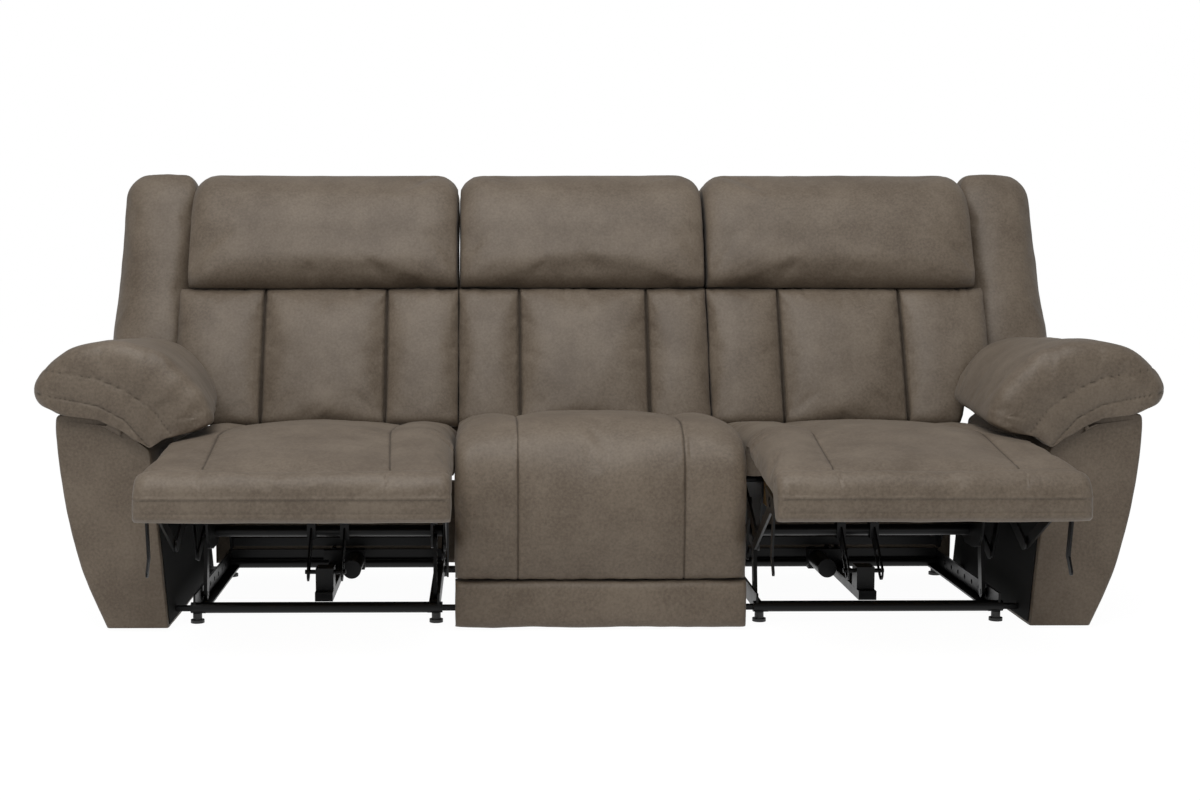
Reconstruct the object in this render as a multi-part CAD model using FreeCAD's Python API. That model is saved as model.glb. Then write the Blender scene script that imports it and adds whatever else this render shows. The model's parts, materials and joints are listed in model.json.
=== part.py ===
import FreeCAD, Part
import math
import os

# Three-seat reclining sofa, in millimetres, +Z up, front towards -Y, width along X.
# Rest pose: both legrests out and both outer backs upright.
# All pieces are first placed with y = 0 at the front feet, then moved by Y_SHIFT,
# so that the origin is the centre of the footprint on the floor.

V = FreeCAD.Vector

# Overall layout
CENTRE_HALF = 312.0          # half width of the fixed middle seat
SEAT_WIDTH = 610.5           # width of an outer seat
SIDE_GAP = 2.5               # between neighbouring seats, and between a seat and its arm
CENTRE_TIMBER = CENTRE_HALF - 14.0         # half width of the middle seat's timber frame
CENTRE_BACK = CENTRE_HALF - 1.0            # half width of the middle back
SEAT_IN = CENTRE_HALF + SIDE_GAP           # inner edge of an outer seat
SEAT_OUT = SEAT_IN + SEAT_WIDTH            # outer edge of an outer seat
BACK_IN = SEAT_IN + SIDE_GAP               # inner edge of an outer back
BACK_LOW_OUT = SEAT_OUT - 3.0              # outer edge of an outer back beside the arm
MECH_X = SEAT_IN + 0.5 * SEAT_WIDTH - 1.75 # middle plane of each reclining mechanism
ARM_IN = SEAT_OUT + SIDE_GAP               # inner face of an arm at the floor
ARM_IN_TOP = ARM_IN + 32.5                 # inner face of an arm at its top
ARM_FRONT = -92.0            # front face of an arm
ARM_REAR = 560.0             # rear face of an arm
ARM_BOTTOM = 8.0
TIP_Y = -489.5               # front of the open legrest
BACK_REAR = 916.0            # rearmost line of the backs
Y_SHIFT = -0.5 * (TIP_Y + BACK_REAR)

# Legrest hinge line and its nose
HINGE_Y = -98.0
HINGE_Z = 412.0
NOSE_R = 18.0
NOSE_GAP = 0.4
LEGREST_SWING = 83.0         # degrees from open to closed

# Legrest links, in the y z plane
ARM_PIVOT = (120.0, 300.0)   # rear arms on the side plates
LINK_LEN = 260.0             # rear arm and front link have the same length
EAR_PIVOT = (-345.0, 316.0)  # front link on the legrest ears
TUBE = (190.0, 172.0)        # torque tube axis
CRANK_LEN = 95.0
PIN_Z = 92.0                 # height of the carriage pin
CRANK_HALF_SWING = 49.0
PIN_OFFSET = 8.0             # how far behind the strap line the carriage pin rests
STRAP_SLOT = 24.0            # width of the slot that takes the carriage pin
CLAMP = 18.0                 # half size of the square clamps on the torque tube

# Side to side layers, measured from MECH_X: the seat's timber frame, then steel towards both sides
SEAT_OVERHANG = 57.35        # from the edge of the seat to its timber frame
S_TIMBER = 0.5 * SEAT_WIDTH - SEAT_OVERHANG


def steel_layer(away, thickness):
    """A layer whose inner face lies so far from the timber frame."""
    return (S_TIMBER + away, S_TIMBER + away + thickness)


S_PLATE = steel_layer(0.1, 5.0)
S_SWING = steel_layer(5.4, 8.2)
S_RAIL = steel_layer(17.1, 5.0)
S_CRANK = steel_layer(24.1, 4.0)
S_DRIVE = steel_layer(29.1, 4.0)
S_REAR_ARM = steel_layer(34.1, 5.0)
S_FRONT_LINK = steel_layer(40.1, 5.0)
S_EAR = steel_layer(46.1, 4.0)

# Base
TUBE_R = 12.0
TUBE_Z = 33.0
REAR_TUBE_Y = 538.4
SEAT_GLIDE = 40.0            # travel of the seat when the back reclines
SWING_LEN = 122.0
SWING_FOOT = (95.0, 45.0)

# Back
BACK_PIVOT = (553.0, 330.0)
BACK_SLOPE = 0.43
BACK_FOOT = (500.0, 390.0)   # a point on the front line of the back cushions
PAD_DEPTH = 62.0
BACK_SWING = 30.0
BACK_BOTTOM = 384.0          # lower edge of the back cushions
PILLOW_Z = 712.0
BACK_TOP = 1008.0
PILLOW_OUT = SEAT_OUT + 75.0               # outer edge of an outer head pillow
WING_GAP = 0.35              # between a head pillow and its wing
# Seams of an outer back
CHANNEL_EDGES = (BACK_IN, BACK_IN + 179.0, PILLOW_OUT - 196.0, PILLOW_OUT + 20.0)
CENTRE_CHANNEL = 150.0       # width of the two narrow channels of the middle back
CENTRE_EDGES = (-CENTRE_BACK, CENTRE_CHANNEL - CENTRE_BACK, CENTRE_BACK - CENTRE_CHANNEL, CENTRE_BACK)
PILLOW_ROUND = 62.0          # width over which a head pillow rounds in at its ends

RUN = 0.1                    # running clearance on pins
TAB_LEN = 20.0               # front tabs that tie a rail to the arm and to the middle frame


def box(x0, x1, y0, y1, z0, z1):
    return Part.makeBox(x1 - x0, y1 - y0, z1 - z0, V(x0, y0, z0))


def cyl_x(x0, x1, y, z, r):
    return Part.makeCylinder(r, x1 - x0, V(x0, y, z), V(1, 0, 0))


def cyl_y(y0, y1, x, z, r):
    return Part.makeCylinder(r, y1 - y0, V(x, y0, z), V(0, 1, 0))


def cyl_z(z0, z1, x, y, r):
    return Part.makeCylinder(r, z1 - z0, V(x, y, z0), V(0, 0, 1))


def prism(points, place, move):
    """Straight prism on a closed outline; place turns a point pair into a vector."""
    corners = [place(p) for p in points]
    face = Part.Face(Part.makePolygon(corners + [corners[0]]))
    return face.extrude(move)


def plate_x(points, x0, x1):
    return prism(points, lambda p: V(x0, p[0], p[1]), V(x1 - x0, 0, 0))


def link_x(a, b, width, x0, x1, hole_a=0.0, hole_b=0.0):
    """Flat bar with round ends between two points of the y z plane."""
    dy = b[0] - a[0]
    dz = b[1] - a[1]
    size = math.hypot(dy, dz)
    ny = -dz / size * width / 2.0
    nz = dy / size * width / 2.0
    sides = [(a[0] + ny, a[1] + nz), (b[0] + ny, b[1] + nz),
             (b[0] - ny, b[1] - nz), (a[0] - ny, a[1] - nz)]
    bar = plate_x(sides, x0, x1)
    bar = bar.fuse([cyl_x(x0, x1, a[0], a[1], width / 2.0), cyl_x(x0, x1, b[0], b[1], width / 2.0)])
    holes = []
    if hole_a > 0.0:
        holes.append(cyl_x(x0 - 1.0, x1 + 1.0, a[0], a[1], hole_a))
    if hole_b > 0.0:
        holes.append(cyl_x(x0 - 1.0, x1 + 1.0, b[0], b[1], hole_b))
    if holes:
        bar = bar.cut(holes)
    return bar.removeSplitter()


def on_circle(centre, radius, degrees):
    turn = math.radians(degrees)
    return (centre[0] + radius * math.cos(turn), centre[1] + radius * math.sin(turn))


def loop(segments, place):
    """Closed wire; each segment is an end point and the bulge of the edge that leads to it."""
    edges = []
    last = segments[-1]
    p = (last[0], last[1])
    for seg in segments:
        q = (seg[0], seg[1])
        bulge = seg[2]
        if abs(bulge) < 1e-6:
            edges.append(Part.makeLine(place(p), place(q)))
        else:
            dx = q[0] - p[0]
            dy = q[1] - p[1]
            size = math.hypot(dx, dy)
            mid = ((p[0] + q[0]) / 2.0 + dy / size * bulge, (p[1] + q[1]) / 2.0 - dx / size * bulge)
            edges.append(Part.Arc(place(p), place(mid), place(q)).toShape())
        p = q
    return Part.Wire(edges)


def scaled(segments, centre, sa, sb):
    """The same outline drawn in towards a centre."""
    out = []
    for seg in segments:
        a = centre[0] + (seg[0] - centre[0]) * sa
        b = centre[1] + (seg[1] - centre[1]) * sb
        out.append((a, b, seg[2] * 0.5 * (sa + sb)))
    return out


def loft_x(stations, outline, centre):
    """Loft along X; stations are x, scale in y, scale in z and crown height."""
    wires = []
    for x, sa, sb, crown in stations:
        place = lambda p, x=x: V(x, p[0], p[1])
        wires.append(loop(scaled(outline(crown), centre, sa, sb), place))
    return Part.makeLoft(wires, True, True)


def soft_stations(x0, x1, edge_y, edge_z, crown=0.0, lip=34.0):
    """Stations of a cushion: rounded in at both ends, crowned in the middle."""
    span = x1 - x0
    lip = min(lip, span * 0.2)
    half = []
    for u in (0.0, 0.08, 0.25, 0.55, 1.0):
        grow = math.sqrt(1.0 - (1.0 - u) ** 2)
        half.append((lip * u, 1.0 - (1.0 - edge_y) * (1.0 - grow), 1.0 - (1.0 - edge_z) * (1.0 - grow)))
    rows = [(x0 + d, sa, sb) for d, sa, sb in half]
    for k in (0.22, 0.36, 0.5, 0.64, 0.78):
        rows.append((x0 + span * k, 1.0, 1.0))
    rows.extend((x1 - d, sa, sb) for d, sa, sb in reversed(half))
    out = []
    for x, sa, sb in rows:
        rise = 1.0 - ((x - x0) / span * 2.0 - 1.0) ** 2
        out.append((x, sa, sb, crown * rise))
    return out


def mirrored(shape):
    return shape.mirror(V(0, 0, 0), V(1, 0, 0))


def layer(pair, sign):
    """x range of a layer on the outer (sign 1) or inner (sign -1) side."""
    a = MECH_X + sign * pair[0]
    b = MECH_X + sign * pair[1]
    return (min(a, b), max(a, b))


# Base and glides
def base_frame():
    x0 = MECH_X - S_RAIL[1]
    x1 = MECH_X + S_RAIL[1]
    tubes = [cyl_x(x0 - 6.0, x1 + 6.0, y, TUBE_Z, TUBE_R) for y in (0.0, REAR_TUBE_Y)]
    tubes.append(box(x0, x1, REAR_TUBE_Y + 4.0, REAR_TUBE_Y + 12.0, 38.0, 66.0))
    shape = tubes[0].fuse(tubes[1:])
    for sign in (1.0, -1.0):
        a, b = layer(S_RAIL, sign)
        web = box(a, b, -8.0, REAR_TUBE_Y + 12.0, 24.0, 62.0)
        c, d = layer((S_RAIL[0] - 22.0, S_RAIL[1]), sign)
        foot = box(c, d, -8.0, REAR_TUBE_Y + 12.0, 22.0, 26.0)
        rail = web.fuse(foot)
        holes = []
        for y in (150.0, 210.0, 270.0, 330.0, 390.0, 450.0):
            holes.append(cyl_x(a - 1.0, b + 1.0, y, 46.0, 6.0))
        rail = rail.cut(holes)
        e, f = layer((S_SWING[0] - 1.0, S_RAIL[0] + 1.0), sign)
        pin = cyl_x(e, f, SWING_FOOT[0], SWING_FOOT[1], 6.0)
        shape = shape.fuse([rail, pin])
    for y, length in ((-6.0, TAB_LEN), (440.0, 2.0 * TAB_LEN)):
        to_arm = box(x1 - 2.0, ARM_IN - 0.5, y, y + length, 26.0, 36.0)
        to_middle = box(CENTRE_TIMBER, x0 + 2.0, y, y + length, 26.0, 36.0)
        shape = shape.fuse([to_arm, to_middle])
    return shape.removeSplitter()


def glide(x, y, top):
    foot = cyl_z(0.0, 7.0, x, y, 15.0)
    stem = cyl_z(7.0, top, x, y, 10.0)
    return foot.fuse(stem).removeSplitter()


def glides():
    out = []
    for side in (1.0, -1.0):
        for sign in (1.0, -1.0):
            for y in (0.0, REAR_TUBE_Y):
                x = side * (MECH_X + sign * (S_RAIL[1] - 8.0))
                out.append(glide(x, y, TUBE_Z - TUBE_R - 0.02))
        for y in (-34.0, 498.0):
            out.append(glide(side * (ARM_IN + 67.5), y, ARM_BOTTOM + 14.9))
            out.append(glide(side * (CENTRE_TIMBER - 28.0), y, 24.9))
    return out


def swing_links():
    half = SEAT_GLIDE / 2.0
    top = (SWING_FOOT[0] + half, SWING_FOOT[1] + math.sqrt(SWING_LEN ** 2 - half ** 2))
    bars = []
    for sign in (1.0, -1.0):
        a, b = layer(S_SWING, sign)
        bars.append(link_x(SWING_FOOT, top, 26.0, a, b, 6.0 + RUN, 8.5))
    return bars, top


# Seat carriage
def side_plates():
    bars, top = swing_links()
    outline = [(60.0, 318.0), (500.0, 318.0), (508.0, 300.0), (508.0, 96.0), (498.0, 84.0), (452.0, 84.0),
               (410.0, 140.0), (236.0, 150.0), (214.0, 138.0), (150.0, 138.0), (102.0, 148.0), (78.0, 172.0),
               (58.0, 240.0), (46.0, 270.0), (46.0, 304.0)]
    shape = None
    for sign in (1.0, -1.0):
        a, b = layer(S_PLATE, sign)
        plate = plate_x(outline, a, b)
        cuts = [cyl_x(a - 1.0, b + 1.0, TUBE[0], TUBE[1], 13.0 + RUN)]
        for y in (290.0, 350.0, 410.0):
            cuts.append(cyl_x(a - 1.0, b + 1.0, y, 200.0, 13.0))
        plate = plate.cut(cuts)
        c, d = layer((S_PLATE[1] - 1.0, S_REAR_ARM[1] + 1.0), sign)
        pivot = cyl_x(c, d, ARM_PIVOT[0], ARM_PIVOT[1], 8.0)
        e, f = layer((S_PLATE[1] - 1.0, S_SWING[1] + 0.5), sign)
        stub = cyl_x(e, f, top[0], top[1], 6.0)
        hip = link_x((484.0, 290.0), BACK_PIVOT, 34.0, a, b)
        g, h = layer((S_PLATE[1] - 1.0, S_PLATE[1] + 18.0), sign)
        bolt = cyl_x(g, h, BACK_PIVOT[0], BACK_PIVOT[1], 8.0)
        plate = plate.fuse([pivot, stub, hip, bolt])
        shape = plate if shape is None else shape.fuse(plate)
    x0 = MECH_X - S_PLATE[0] - 1.0
    x1 = MECH_X + S_PLATE[0] + 1.0
    cross = [box(x0, x1, 470.0, 495.0, 88.0, 108.0), box(x0, x1, 455.0, 480.0, 208.0, 232.0),
             box(x0, x1, 66.0, 82.0, 226.0, 250.0)]
    shape = shape.fuse(cross)
    return shape.removeSplitter()


def seat_frame(x0, x1, y0, y1, z0, z1):
    """Timber box with a rabbet-free corner, springs span from front to rear rail."""
    outer = box(x0, x1, y0, y1, z0, z1)
    inner = box(x0 + 25.0, x1 - 25.0, y0 + 28.0, y1 - 28.0, z0 - 1.0, z1 + 1.0)
    return outer.cut(inner)


def spring(x, y0, y1, z, half, pitch, wire):
    """Zigzag seat spring: cross bars joined by round bends."""
    n = int((y1 - y0) / pitch)
    r = (y1 - y0) / n / 2.0
    edges = []
    y = y0
    sign = 1.0
    here = V(x - half, y, z)
    there = V(x + half, y, z)
    for i in range(n):
        edges.append(Part.makeLine(here, there))
        q = math.sqrt(0.5) * r
        end = V(there.x, y + 2.0 * r, z)
        far = V(there.x + sign * r, y + r, z)
        m1 = V(there.x + sign * q, y + r - q, z)
        m2 = V(there.x + sign * q, y + r + q, z)
        edges.append(Part.Arc(there, m1, far).toShape())
        edges.append(Part.Arc(far, m2, end).toShape())
        y = y + 2.0 * r
        here = end
        sign = -sign
        there = V(x + sign * half, y, z)
    edges.append(Part.makeLine(here, there))
    path = Part.Wire(edges)
    ring = Part.Wire([Part.makeCircle(wire, edges[0].Vertexes[0].Point, V(1, 0, 0))])
    return path.makePipeShell([ring], True, False)


def springs(x0, x1, y0, y1, z, count):
    out = []
    step = (x1 - x0) / count
    for i in range(count):
        out.append(spring(x0 + step * (i + 0.5), y0, y1, z, 24.0, 42.0, 2.0))
    return out


def seat_cushion():
    def outline(crown):
        return [(-46.0, 326.6, 0.0), (486.0, 326.6, 0.0), (490.0, 366.0, 4.0),
                (462.0, 384.0 + crown * 0.4, 7.0), (150.0, 413.0 + crown, 4.0),
                (HINGE_Y, HINGE_Z + NOSE_R, 2.0),
                (HINGE_Y - NOSE_R, HINGE_Z, 5.27), (HINGE_Y, HINGE_Z - NOSE_R, 5.27),
                (-46.0, HINGE_Z - NOSE_R, 0.0)]
    stations = soft_stations(SEAT_IN, SEAT_OUT, 0.965, 0.70, 7.0)
    return loft_x(stations, outline, (200.0, HINGE_Z - NOSE_R))


# Drive
RAIL_X = MECH_X - 10.0


def drive_unit():
    rail = box(RAIL_X - 20.0, RAIL_X + 20.0, 58.0, 440.0, 34.0, 54.0)
    slot = box(RAIL_X - 7.0, RAIL_X + 7.0, 66.0, 420.0, 46.0, 56.0)
    rail = rail.cut(slot)
    motor = cyl_y(302.0, 430.0, RAIL_X - 44.0, 60.0, 22.0)
    gear = box(RAIL_X - 66.0, RAIL_X + 20.0, 428.0, 462.0, 36.0, 84.0)
    plug = box(RAIL_X + 20.0, RAIL_X + 34.0, 436.0, 460.0, 60.0, 82.0)
    socket = box(RAIL_X + 27.0, RAIL_X + 35.0, 440.0, 456.0, 64.0, 78.0)
    ear_l = box(RAIL_X - 14.0, RAIL_X - 8.0, 440.0, 494.0, 60.0, 87.98)
    ear_r = box(RAIL_X + 8.0, RAIL_X + 14.0, 440.0, 494.0, 60.0, 87.98)
    shape = rail.fuse([motor, gear, plug, ear_l, ear_r])
    return shape.cut(socket).removeSplitter()


def pin_y(degrees):
    """Where the carriage pin stands along the rail for a crank angle."""
    return TUBE[0] + (TUBE[1] - PIN_Z) * math.tan(math.radians(degrees))


def drive_carriage():
    y = pin_y(-CRANK_HALF_SWING) + PIN_OFFSET
    body = box(RAIL_X - 20.0, RAIL_X + 20.0, y - 26.0, y + 26.0, 54.3, 104.0)
    key = box(RAIL_X - 5.5, RAIL_X + 5.5, y - 8.0, y + 24.0, 47.5, 55.0)
    pin = cyl_x(RAIL_X - 46.0, RAIL_X + 46.0, y, PIN_Z, 5.0)
    return body.fuse([key, pin]).removeSplitter()


def torque_tube():
    x0 = MECH_X - S_CRANK[0]
    x1 = MECH_X + S_CRANK[0]
    shape = cyl_x(x0, x1, TUBE[0], TUBE[1], 13.0)
    parts = []
    start = arm_angle(0.0)
    for sign in (1.0, -1.0):
        a, b = layer(S_CRANK, sign)
        parts.append(link_x(TUBE, on_circle(TUBE, CRANK_LEN, start), 28.0, a, b))
        c, d = layer((S_CRANK[1] - 1.0, S_DRIVE[1]), sign)
        e = on_circle(TUBE, CRANK_LEN, start)
        parts.append(cyl_x(c, d, e[0], e[1], 5.0))
    angle = 270.0 - CRANK_HALF_SWING
    for off in (-40.0, 36.0):
        x = RAIL_X + off
        end = on_circle(TUBE, 123.0, angle)
        strap = link_x(TUBE, end, 38.0, x, x + 4.0)
        near = on_circle(TUBE, 74.0, angle)
        far = on_circle(TUBE, 126.0, angle)
        slot = link_x(near, far, STRAP_SLOT, x - 1.0, x + 5.0)
        strap = strap.cut(slot)
        clamp = box(x - 8.0, x + 12.0, TUBE[0] - CLAMP, TUBE[0] + CLAMP, TUBE[1] - CLAMP, TUBE[1] + CLAMP)
        parts.extend([strap, clamp])
    return shape.fuse(parts).removeSplitter()


def drive_links():
    out = []
    start = arm_angle(0.0)
    d = on_circle(TUBE, CRANK_LEN, start)
    e = on_circle(ARM_PIVOT, CRANK_LEN, start)
    for sign in (1.0, -1.0):
        a, b = layer(S_DRIVE, sign)
        out.append(link_x(d, e, 22.0, a, b, 5.0 + RUN, 5.4))
    return out


# Legrest linkage
def turned(point, degrees):
    """A point fixed to the legrest, after closing by so many degrees."""
    a = math.radians(degrees)
    y = point[0] - HINGE_Y
    z = point[1] - HINGE_Z
    return (HINGE_Y + y * math.cos(a) - z * math.sin(a), HINGE_Z + y * math.sin(a) + z * math.cos(a))


def arm_angle(closing):
    """Exact direction of the rear arm for a closing angle of the legrest."""
    b = turned(EAR_PIVOT, closing)
    dy = b[0] - ARM_PIVOT[0]
    dz = b[1] - ARM_PIVOT[1]
    size = math.hypot(dy, dz)
    base = math.degrees(math.atan2(dz, dy)) % 360.0
    return base + math.degrees(math.acos(size / 2.0 / LINK_LEN))


def link_angle(closing):
    """Exact direction of the front link, from the elbow to the ear."""
    c = on_circle(ARM_PIVOT, LINK_LEN, arm_angle(closing))
    b = turned(EAR_PIVOT, closing)
    return math.degrees(math.atan2(b[1] - c[1], b[0] - c[0])) % 360.0


def rear_arms():
    out = []
    start = arm_angle(0.0)
    elbow = on_circle(ARM_PIVOT, LINK_LEN, start)
    for sign in (1.0, -1.0):
        a, b = layer(S_REAR_ARM, sign)
        bar = link_x(ARM_PIVOT, elbow, 28.0, a, b, 8.0 + RUN, 0.0)
        e = on_circle(ARM_PIVOT, CRANK_LEN, start)
        c, d = layer((S_DRIVE[0], S_REAR_ARM[0] + 1.0), sign)
        f, g = layer((S_REAR_ARM[1] - 1.0, S_FRONT_LINK[1]), sign)
        pins = [cyl_x(c, d, e[0], e[1], 5.0), cyl_x(f, g, elbow[0], elbow[1], 5.0)]
        out.append(bar.fuse(pins).removeSplitter())
    return out


def front_links():
    out = []
    elbow = on_circle(ARM_PIVOT, LINK_LEN, arm_angle(0.0))
    for sign in (1.0, -1.0):
        a, b = layer(S_FRONT_LINK, sign)
        bar = link_x(elbow, EAR_PIVOT, 24.0, a, b, 5.0 + RUN, 0.0)
        c, d = layer((S_FRONT_LINK[1] - 1.0, S_EAR[1]), sign)
        out.append(bar.fuse(cyl_x(c, d, EAR_PIVOT[0], EAR_PIVOT[1], 4.0)).removeSplitter())
    return out


def legrest_board():
    outline = [(-419.0, 325.8), (-122.0, 361.0), (-122.0, 374.9), (-419.0, 339.6)]
    half = S_TIMBER + 42.1
    return plate_x(outline, MECH_X - half, MECH_X + half)


def legrest_brackets():
    out = []
    for sign in (1.0, -1.0):
        a, b = layer(S_EAR, sign)
        ear = plate_x([(-405.0, 327.0), (-290.0, 340.6), (-300.0, 318.0), (-330.0, 296.0), (-372.0, 296.0),
                       (-398.0, 300.0)], a, b)
        bar = link_x((-392.0, 316.0), (-372.0, 212.0), 18.0, a, b)
        hook = link_x((-372.0, 212.0), (-392.0, 182.0), 14.0, a, b)
        c, d = layer((S_EAR[0] - 40.0, S_EAR[1]), sign)
        flange = plate_x([(-412.0, 322.8), (-285.0, 337.8), (-285.0, 341.3), (-412.0, 326.3)], c, d)
        ear = ear.fuse([bar, hook, flange])
        near = (EAR_PIVOT[0] - 4.0, EAR_PIVOT[1] - 2.0)
        far = (EAR_PIVOT[0] + 4.0, EAR_PIVOT[1] + 2.0)
        ear = ear.cut(link_x(near, far, 18.0, a - 1.0, b + 1.0))
        out.append(ear.removeSplitter())
    return out


def legrest_pad():
    def outline(crown):
        r = NOSE_R + NOSE_GAP
        lip = on_circle((HINGE_Y, HINGE_Z), r, 105.0)
        return [(-478.0, 296.0, 2.0), (-450.0, 296.0, 0.0), (-424.0, 340.0, 0.0), (HINGE_Y - r, 376.0, 0.0),
                (HINGE_Y - r, HINGE_Z, 0.0), (lip[0], lip[1], -0.2066 * r),
                (-430.0, 390.0 + crown * 0.4, 4.0), (TIP_Y, 338.0, 10.0), (TIP_Y + 0.5, 318.0, 0.0)]
    return loft_x(soft_stations(SEAT_IN + 0.5, SEAT_OUT - 0.5, 0.975, 0.90, 0.0), outline, (-200.0, 372.0))


# Arms
# Outside face of an arm: x from ARM_IN, and z
ARM_SIDE = [(133.5, 8.0), (160.5, 69.0), (185.5, 134.0), (202.5, 199.0), (216.5, 264.0), (225.5, 328.0),
            (232.5, 393.0), (235.5, 440.0), (232.5, 470.0)]
CREST_MID = 85.5             # x of the two bends of an arm's crest, from ARM_IN
CREST_OUT = 137.5


def arm_section(y, inset, bottom):
    side = []
    for x, z in ARM_SIDE:
        side.append((ARM_IN + x - inset, max(z - inset * (z > 435.0), bottom)))
    top = [(ARM_IN + CREST_OUT, 458.0 - inset), (ARM_IN + CREST_MID, 432.0 - inset),
           (ARM_IN_TOP + inset, 394.0 - inset)]
    lean = (ARM_IN_TOP - ARM_IN) / (394.0 - ARM_BOTTOM)
    low = [(ARM_IN + inset + lean * (bottom - ARM_BOTTOM), bottom)]
    pts = [V(p[0], y, p[1]) for p in side + top + low]
    return Part.makePolygon(pts + [pts[0]])


def arm_cover():
    rows = ((ARM_FRONT, 7.0), (ARM_FRONT + 9.0, 0.0), (ARM_REAR - 9.0, 0.0), (ARM_REAR, 7.0))
    outer = Part.makeLoft([arm_section(y, inset, ARM_BOTTOM) for y, inset in rows], True, True)
    inner = Part.makeLoft([arm_section(ARM_FRONT + 15.0, 15.0, ARM_BOTTOM - 2.0),
                           arm_section(ARM_REAR - 15.0, 15.0, ARM_BOTTOM - 2.0)], True, True)
    return outer.cut(inner)


def arm_frame():
    front = Part.Face(arm_section(ARM_FRONT + 15.2, 15.3, ARM_BOTTOM + 15.0)).extrude(V(0, 18.0, 0))
    rear = Part.Face(arm_section(ARM_REAR - 33.2, 15.3, ARM_BOTTOM + 15.0)).extrude(V(0, 18.0, 0))
    y0 = ARM_FRONT + 30.0
    y1 = ARM_REAR - 30.0
    rails = []
    for x, z in ((36.5, 23.0), (86.5, 23.0), (64.5, 320.0), (172.5, 375.0)):
        rails.append(box(ARM_IN + x, ARM_IN + x + 25.0, y0, y1, z, z + 50.0))
    return front.fuse([rear] + rails).removeSplitter()


def arm_pillow():
    """Stuffed roll on top of an arm; its rear end leans with the back."""
    ring = [(-109.5, 456.0, 3.0), (-77.5, 446.0, 4.0), (-1.5, 432.0, 0.0), (31.5, 394.6, 0.0),
            (CREST_MID, 432.4, 0.0), (CREST_OUT, 458.4, 0.0), (232.5, 470.4, 0.0), (277.5, 527.0, 9.0),
            (214.5, 606.0, 10.0), (134.5, 627.0, 4.0), (71.5, 625.0, 2.0), (-2.5, 601.0, 4.0),
            (-85.5, 516.0, 7.0)]
    stations = [(-112.0, 0.84, 0.80, 0.0), (-109.0, 0.90, 0.87, 0.0), (-101.0, 0.955, 0.94, 0.0),
                (-88.0, 0.99, 0.985, 0.0), (-60.0, 1.0, 1.0, 0.0), (40.0, 1.0, 1.0, 0.0),
                (250.0, 1.0, 1.0, 0.0), (380.0, 1.0, 1.0, 0.2), (470.0, 0.985, 0.97, 0.43),
                (492.0, 0.93, 0.90, 0.43), (499.0, 0.84, 0.80, 0.43)]
    wires = []
    for y, sa, sb, lean in stations:
        place = lambda p, y=y, lean=lean: V(ARM_IN + p[0], y + lean * (p[1] - 430.0), p[1])
        wires.append(loop(scaled(ring, (82.5, 520.0), sa, sb), place))
    return Part.makeLoft(wires, True, True)


def arm_dust_panel():
    """Black cloth panel on the inner face of an arm, below the seat."""
    lean = (ARM_IN_TOP - ARM_IN) / (394.0 - ARM_BOTTOM)
    z0 = 14.0
    z1 = 250.0
    x0 = ARM_IN + lean * (z0 - ARM_BOTTOM) - 0.02
    x1 = ARM_IN + lean * (z1 - ARM_BOTTOM) - 0.02
    pts = [V(x0, ARM_FRONT + 12.0, z0), V(x1, ARM_FRONT + 12.0, z1), V(x1 - 1.5, ARM_FRONT + 12.0, z1),
           V(x0 - 1.5, ARM_FRONT + 12.0, z0)]
    return Part.Face(Part.makePolygon(pts + [pts[0]])).extrude(V(0, ARM_REAR - ARM_FRONT - 24.0, 0))


SWITCH_Y = 120.0
SWITCH_Z = 402.0
SWITCH_X = ARM_IN + 235.5
SWITCH_HALF = (24.0, 42.0)


def switch_plate():
    plate = box(SWITCH_X - 11.0, SWITCH_X + 4.0, SWITCH_Y - SWITCH_HALF[0], SWITCH_Y + SWITCH_HALF[0],
                SWITCH_Z - SWITCH_HALF[1], SWITCH_Z + SWITCH_HALF[1])
    plate = plate.cut(arm_cover())
    well_a = cyl_x(SWITCH_X + 0.5, SWITCH_X + 5.0, SWITCH_Y, SWITCH_Z + 19.0, 14.0)
    well_b = cyl_x(SWITCH_X + 0.5, SWITCH_X + 5.0, SWITCH_Y, SWITCH_Z - 19.0, 14.0)
    return plate.cut([well_a, well_b])


def button(z):
    return cyl_x(SWITCH_X + 3.0, SWITCH_X + 8.0, SWITCH_Y, z, 13.9)


# Backs
def front_y(z):
    return BACK_FOOT[0] + BACK_SLOPE * (z - BACK_FOOT[1])


def back_cushion(edges, z0, z1):
    """Upright stuffed channels between seams, one skin drawn in at every seam."""
    def outline(x):
        low = z0
        if x > SEAT_OUT - 25.0:
            low = min(z0 + 98.0, z0 + (x - SEAT_OUT + 25.0) * 5.0)
        return [(front_y(low) + PAD_DEPTH, low + 6.0, 0.0), (front_y(z1) + PAD_DEPTH, z1, 0.0),
                (front_y(z1) + 12.0, z1, 0.0), (front_y(z0 + 130.0) - 12.0, z0 + 130.0, 8.0),
                (front_y(low) + 8.0, low + 16.0, 8.0 - 5.0 * (low > z0)), (front_y(low) + 30.0, low, 4.0)]
    stations = []
    for i in range(len(edges) - 1):
        x0 = edges[i]
        span = edges[i + 1] - x0
        swell = [(0.0, 0.62), (0.03, 0.76), (0.09, 0.88), (0.2, 0.96), (0.35, 1.0), (0.5, 1.02), (0.65, 1.0),
                 (0.8, 0.96), (0.91, 0.88), (0.97, 0.76)]
        for u, sa in swell:
            stations.append((x0 + span * u, sa))
        if edges[i + 1] > SEAT_OUT:
            stations.append((SEAT_OUT - 25.0, 1.0))
            stations.append((SEAT_OUT - 5.2, 1.02))
    stations.append((edges[-1], 0.62))
    stations.sort()
    wires = []
    for x, sa in stations:
        pts = []
        for y, z, bulge in outline(x):
            rear = front_y(z) + PAD_DEPTH
            pts.append((rear + (y - rear) * sa, z, bulge * sa))
        wires.append(loop(pts, lambda p, x=x: V(x, p[0], p[1])))
    return Part.makeLoft(wires, True, True)


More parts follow.
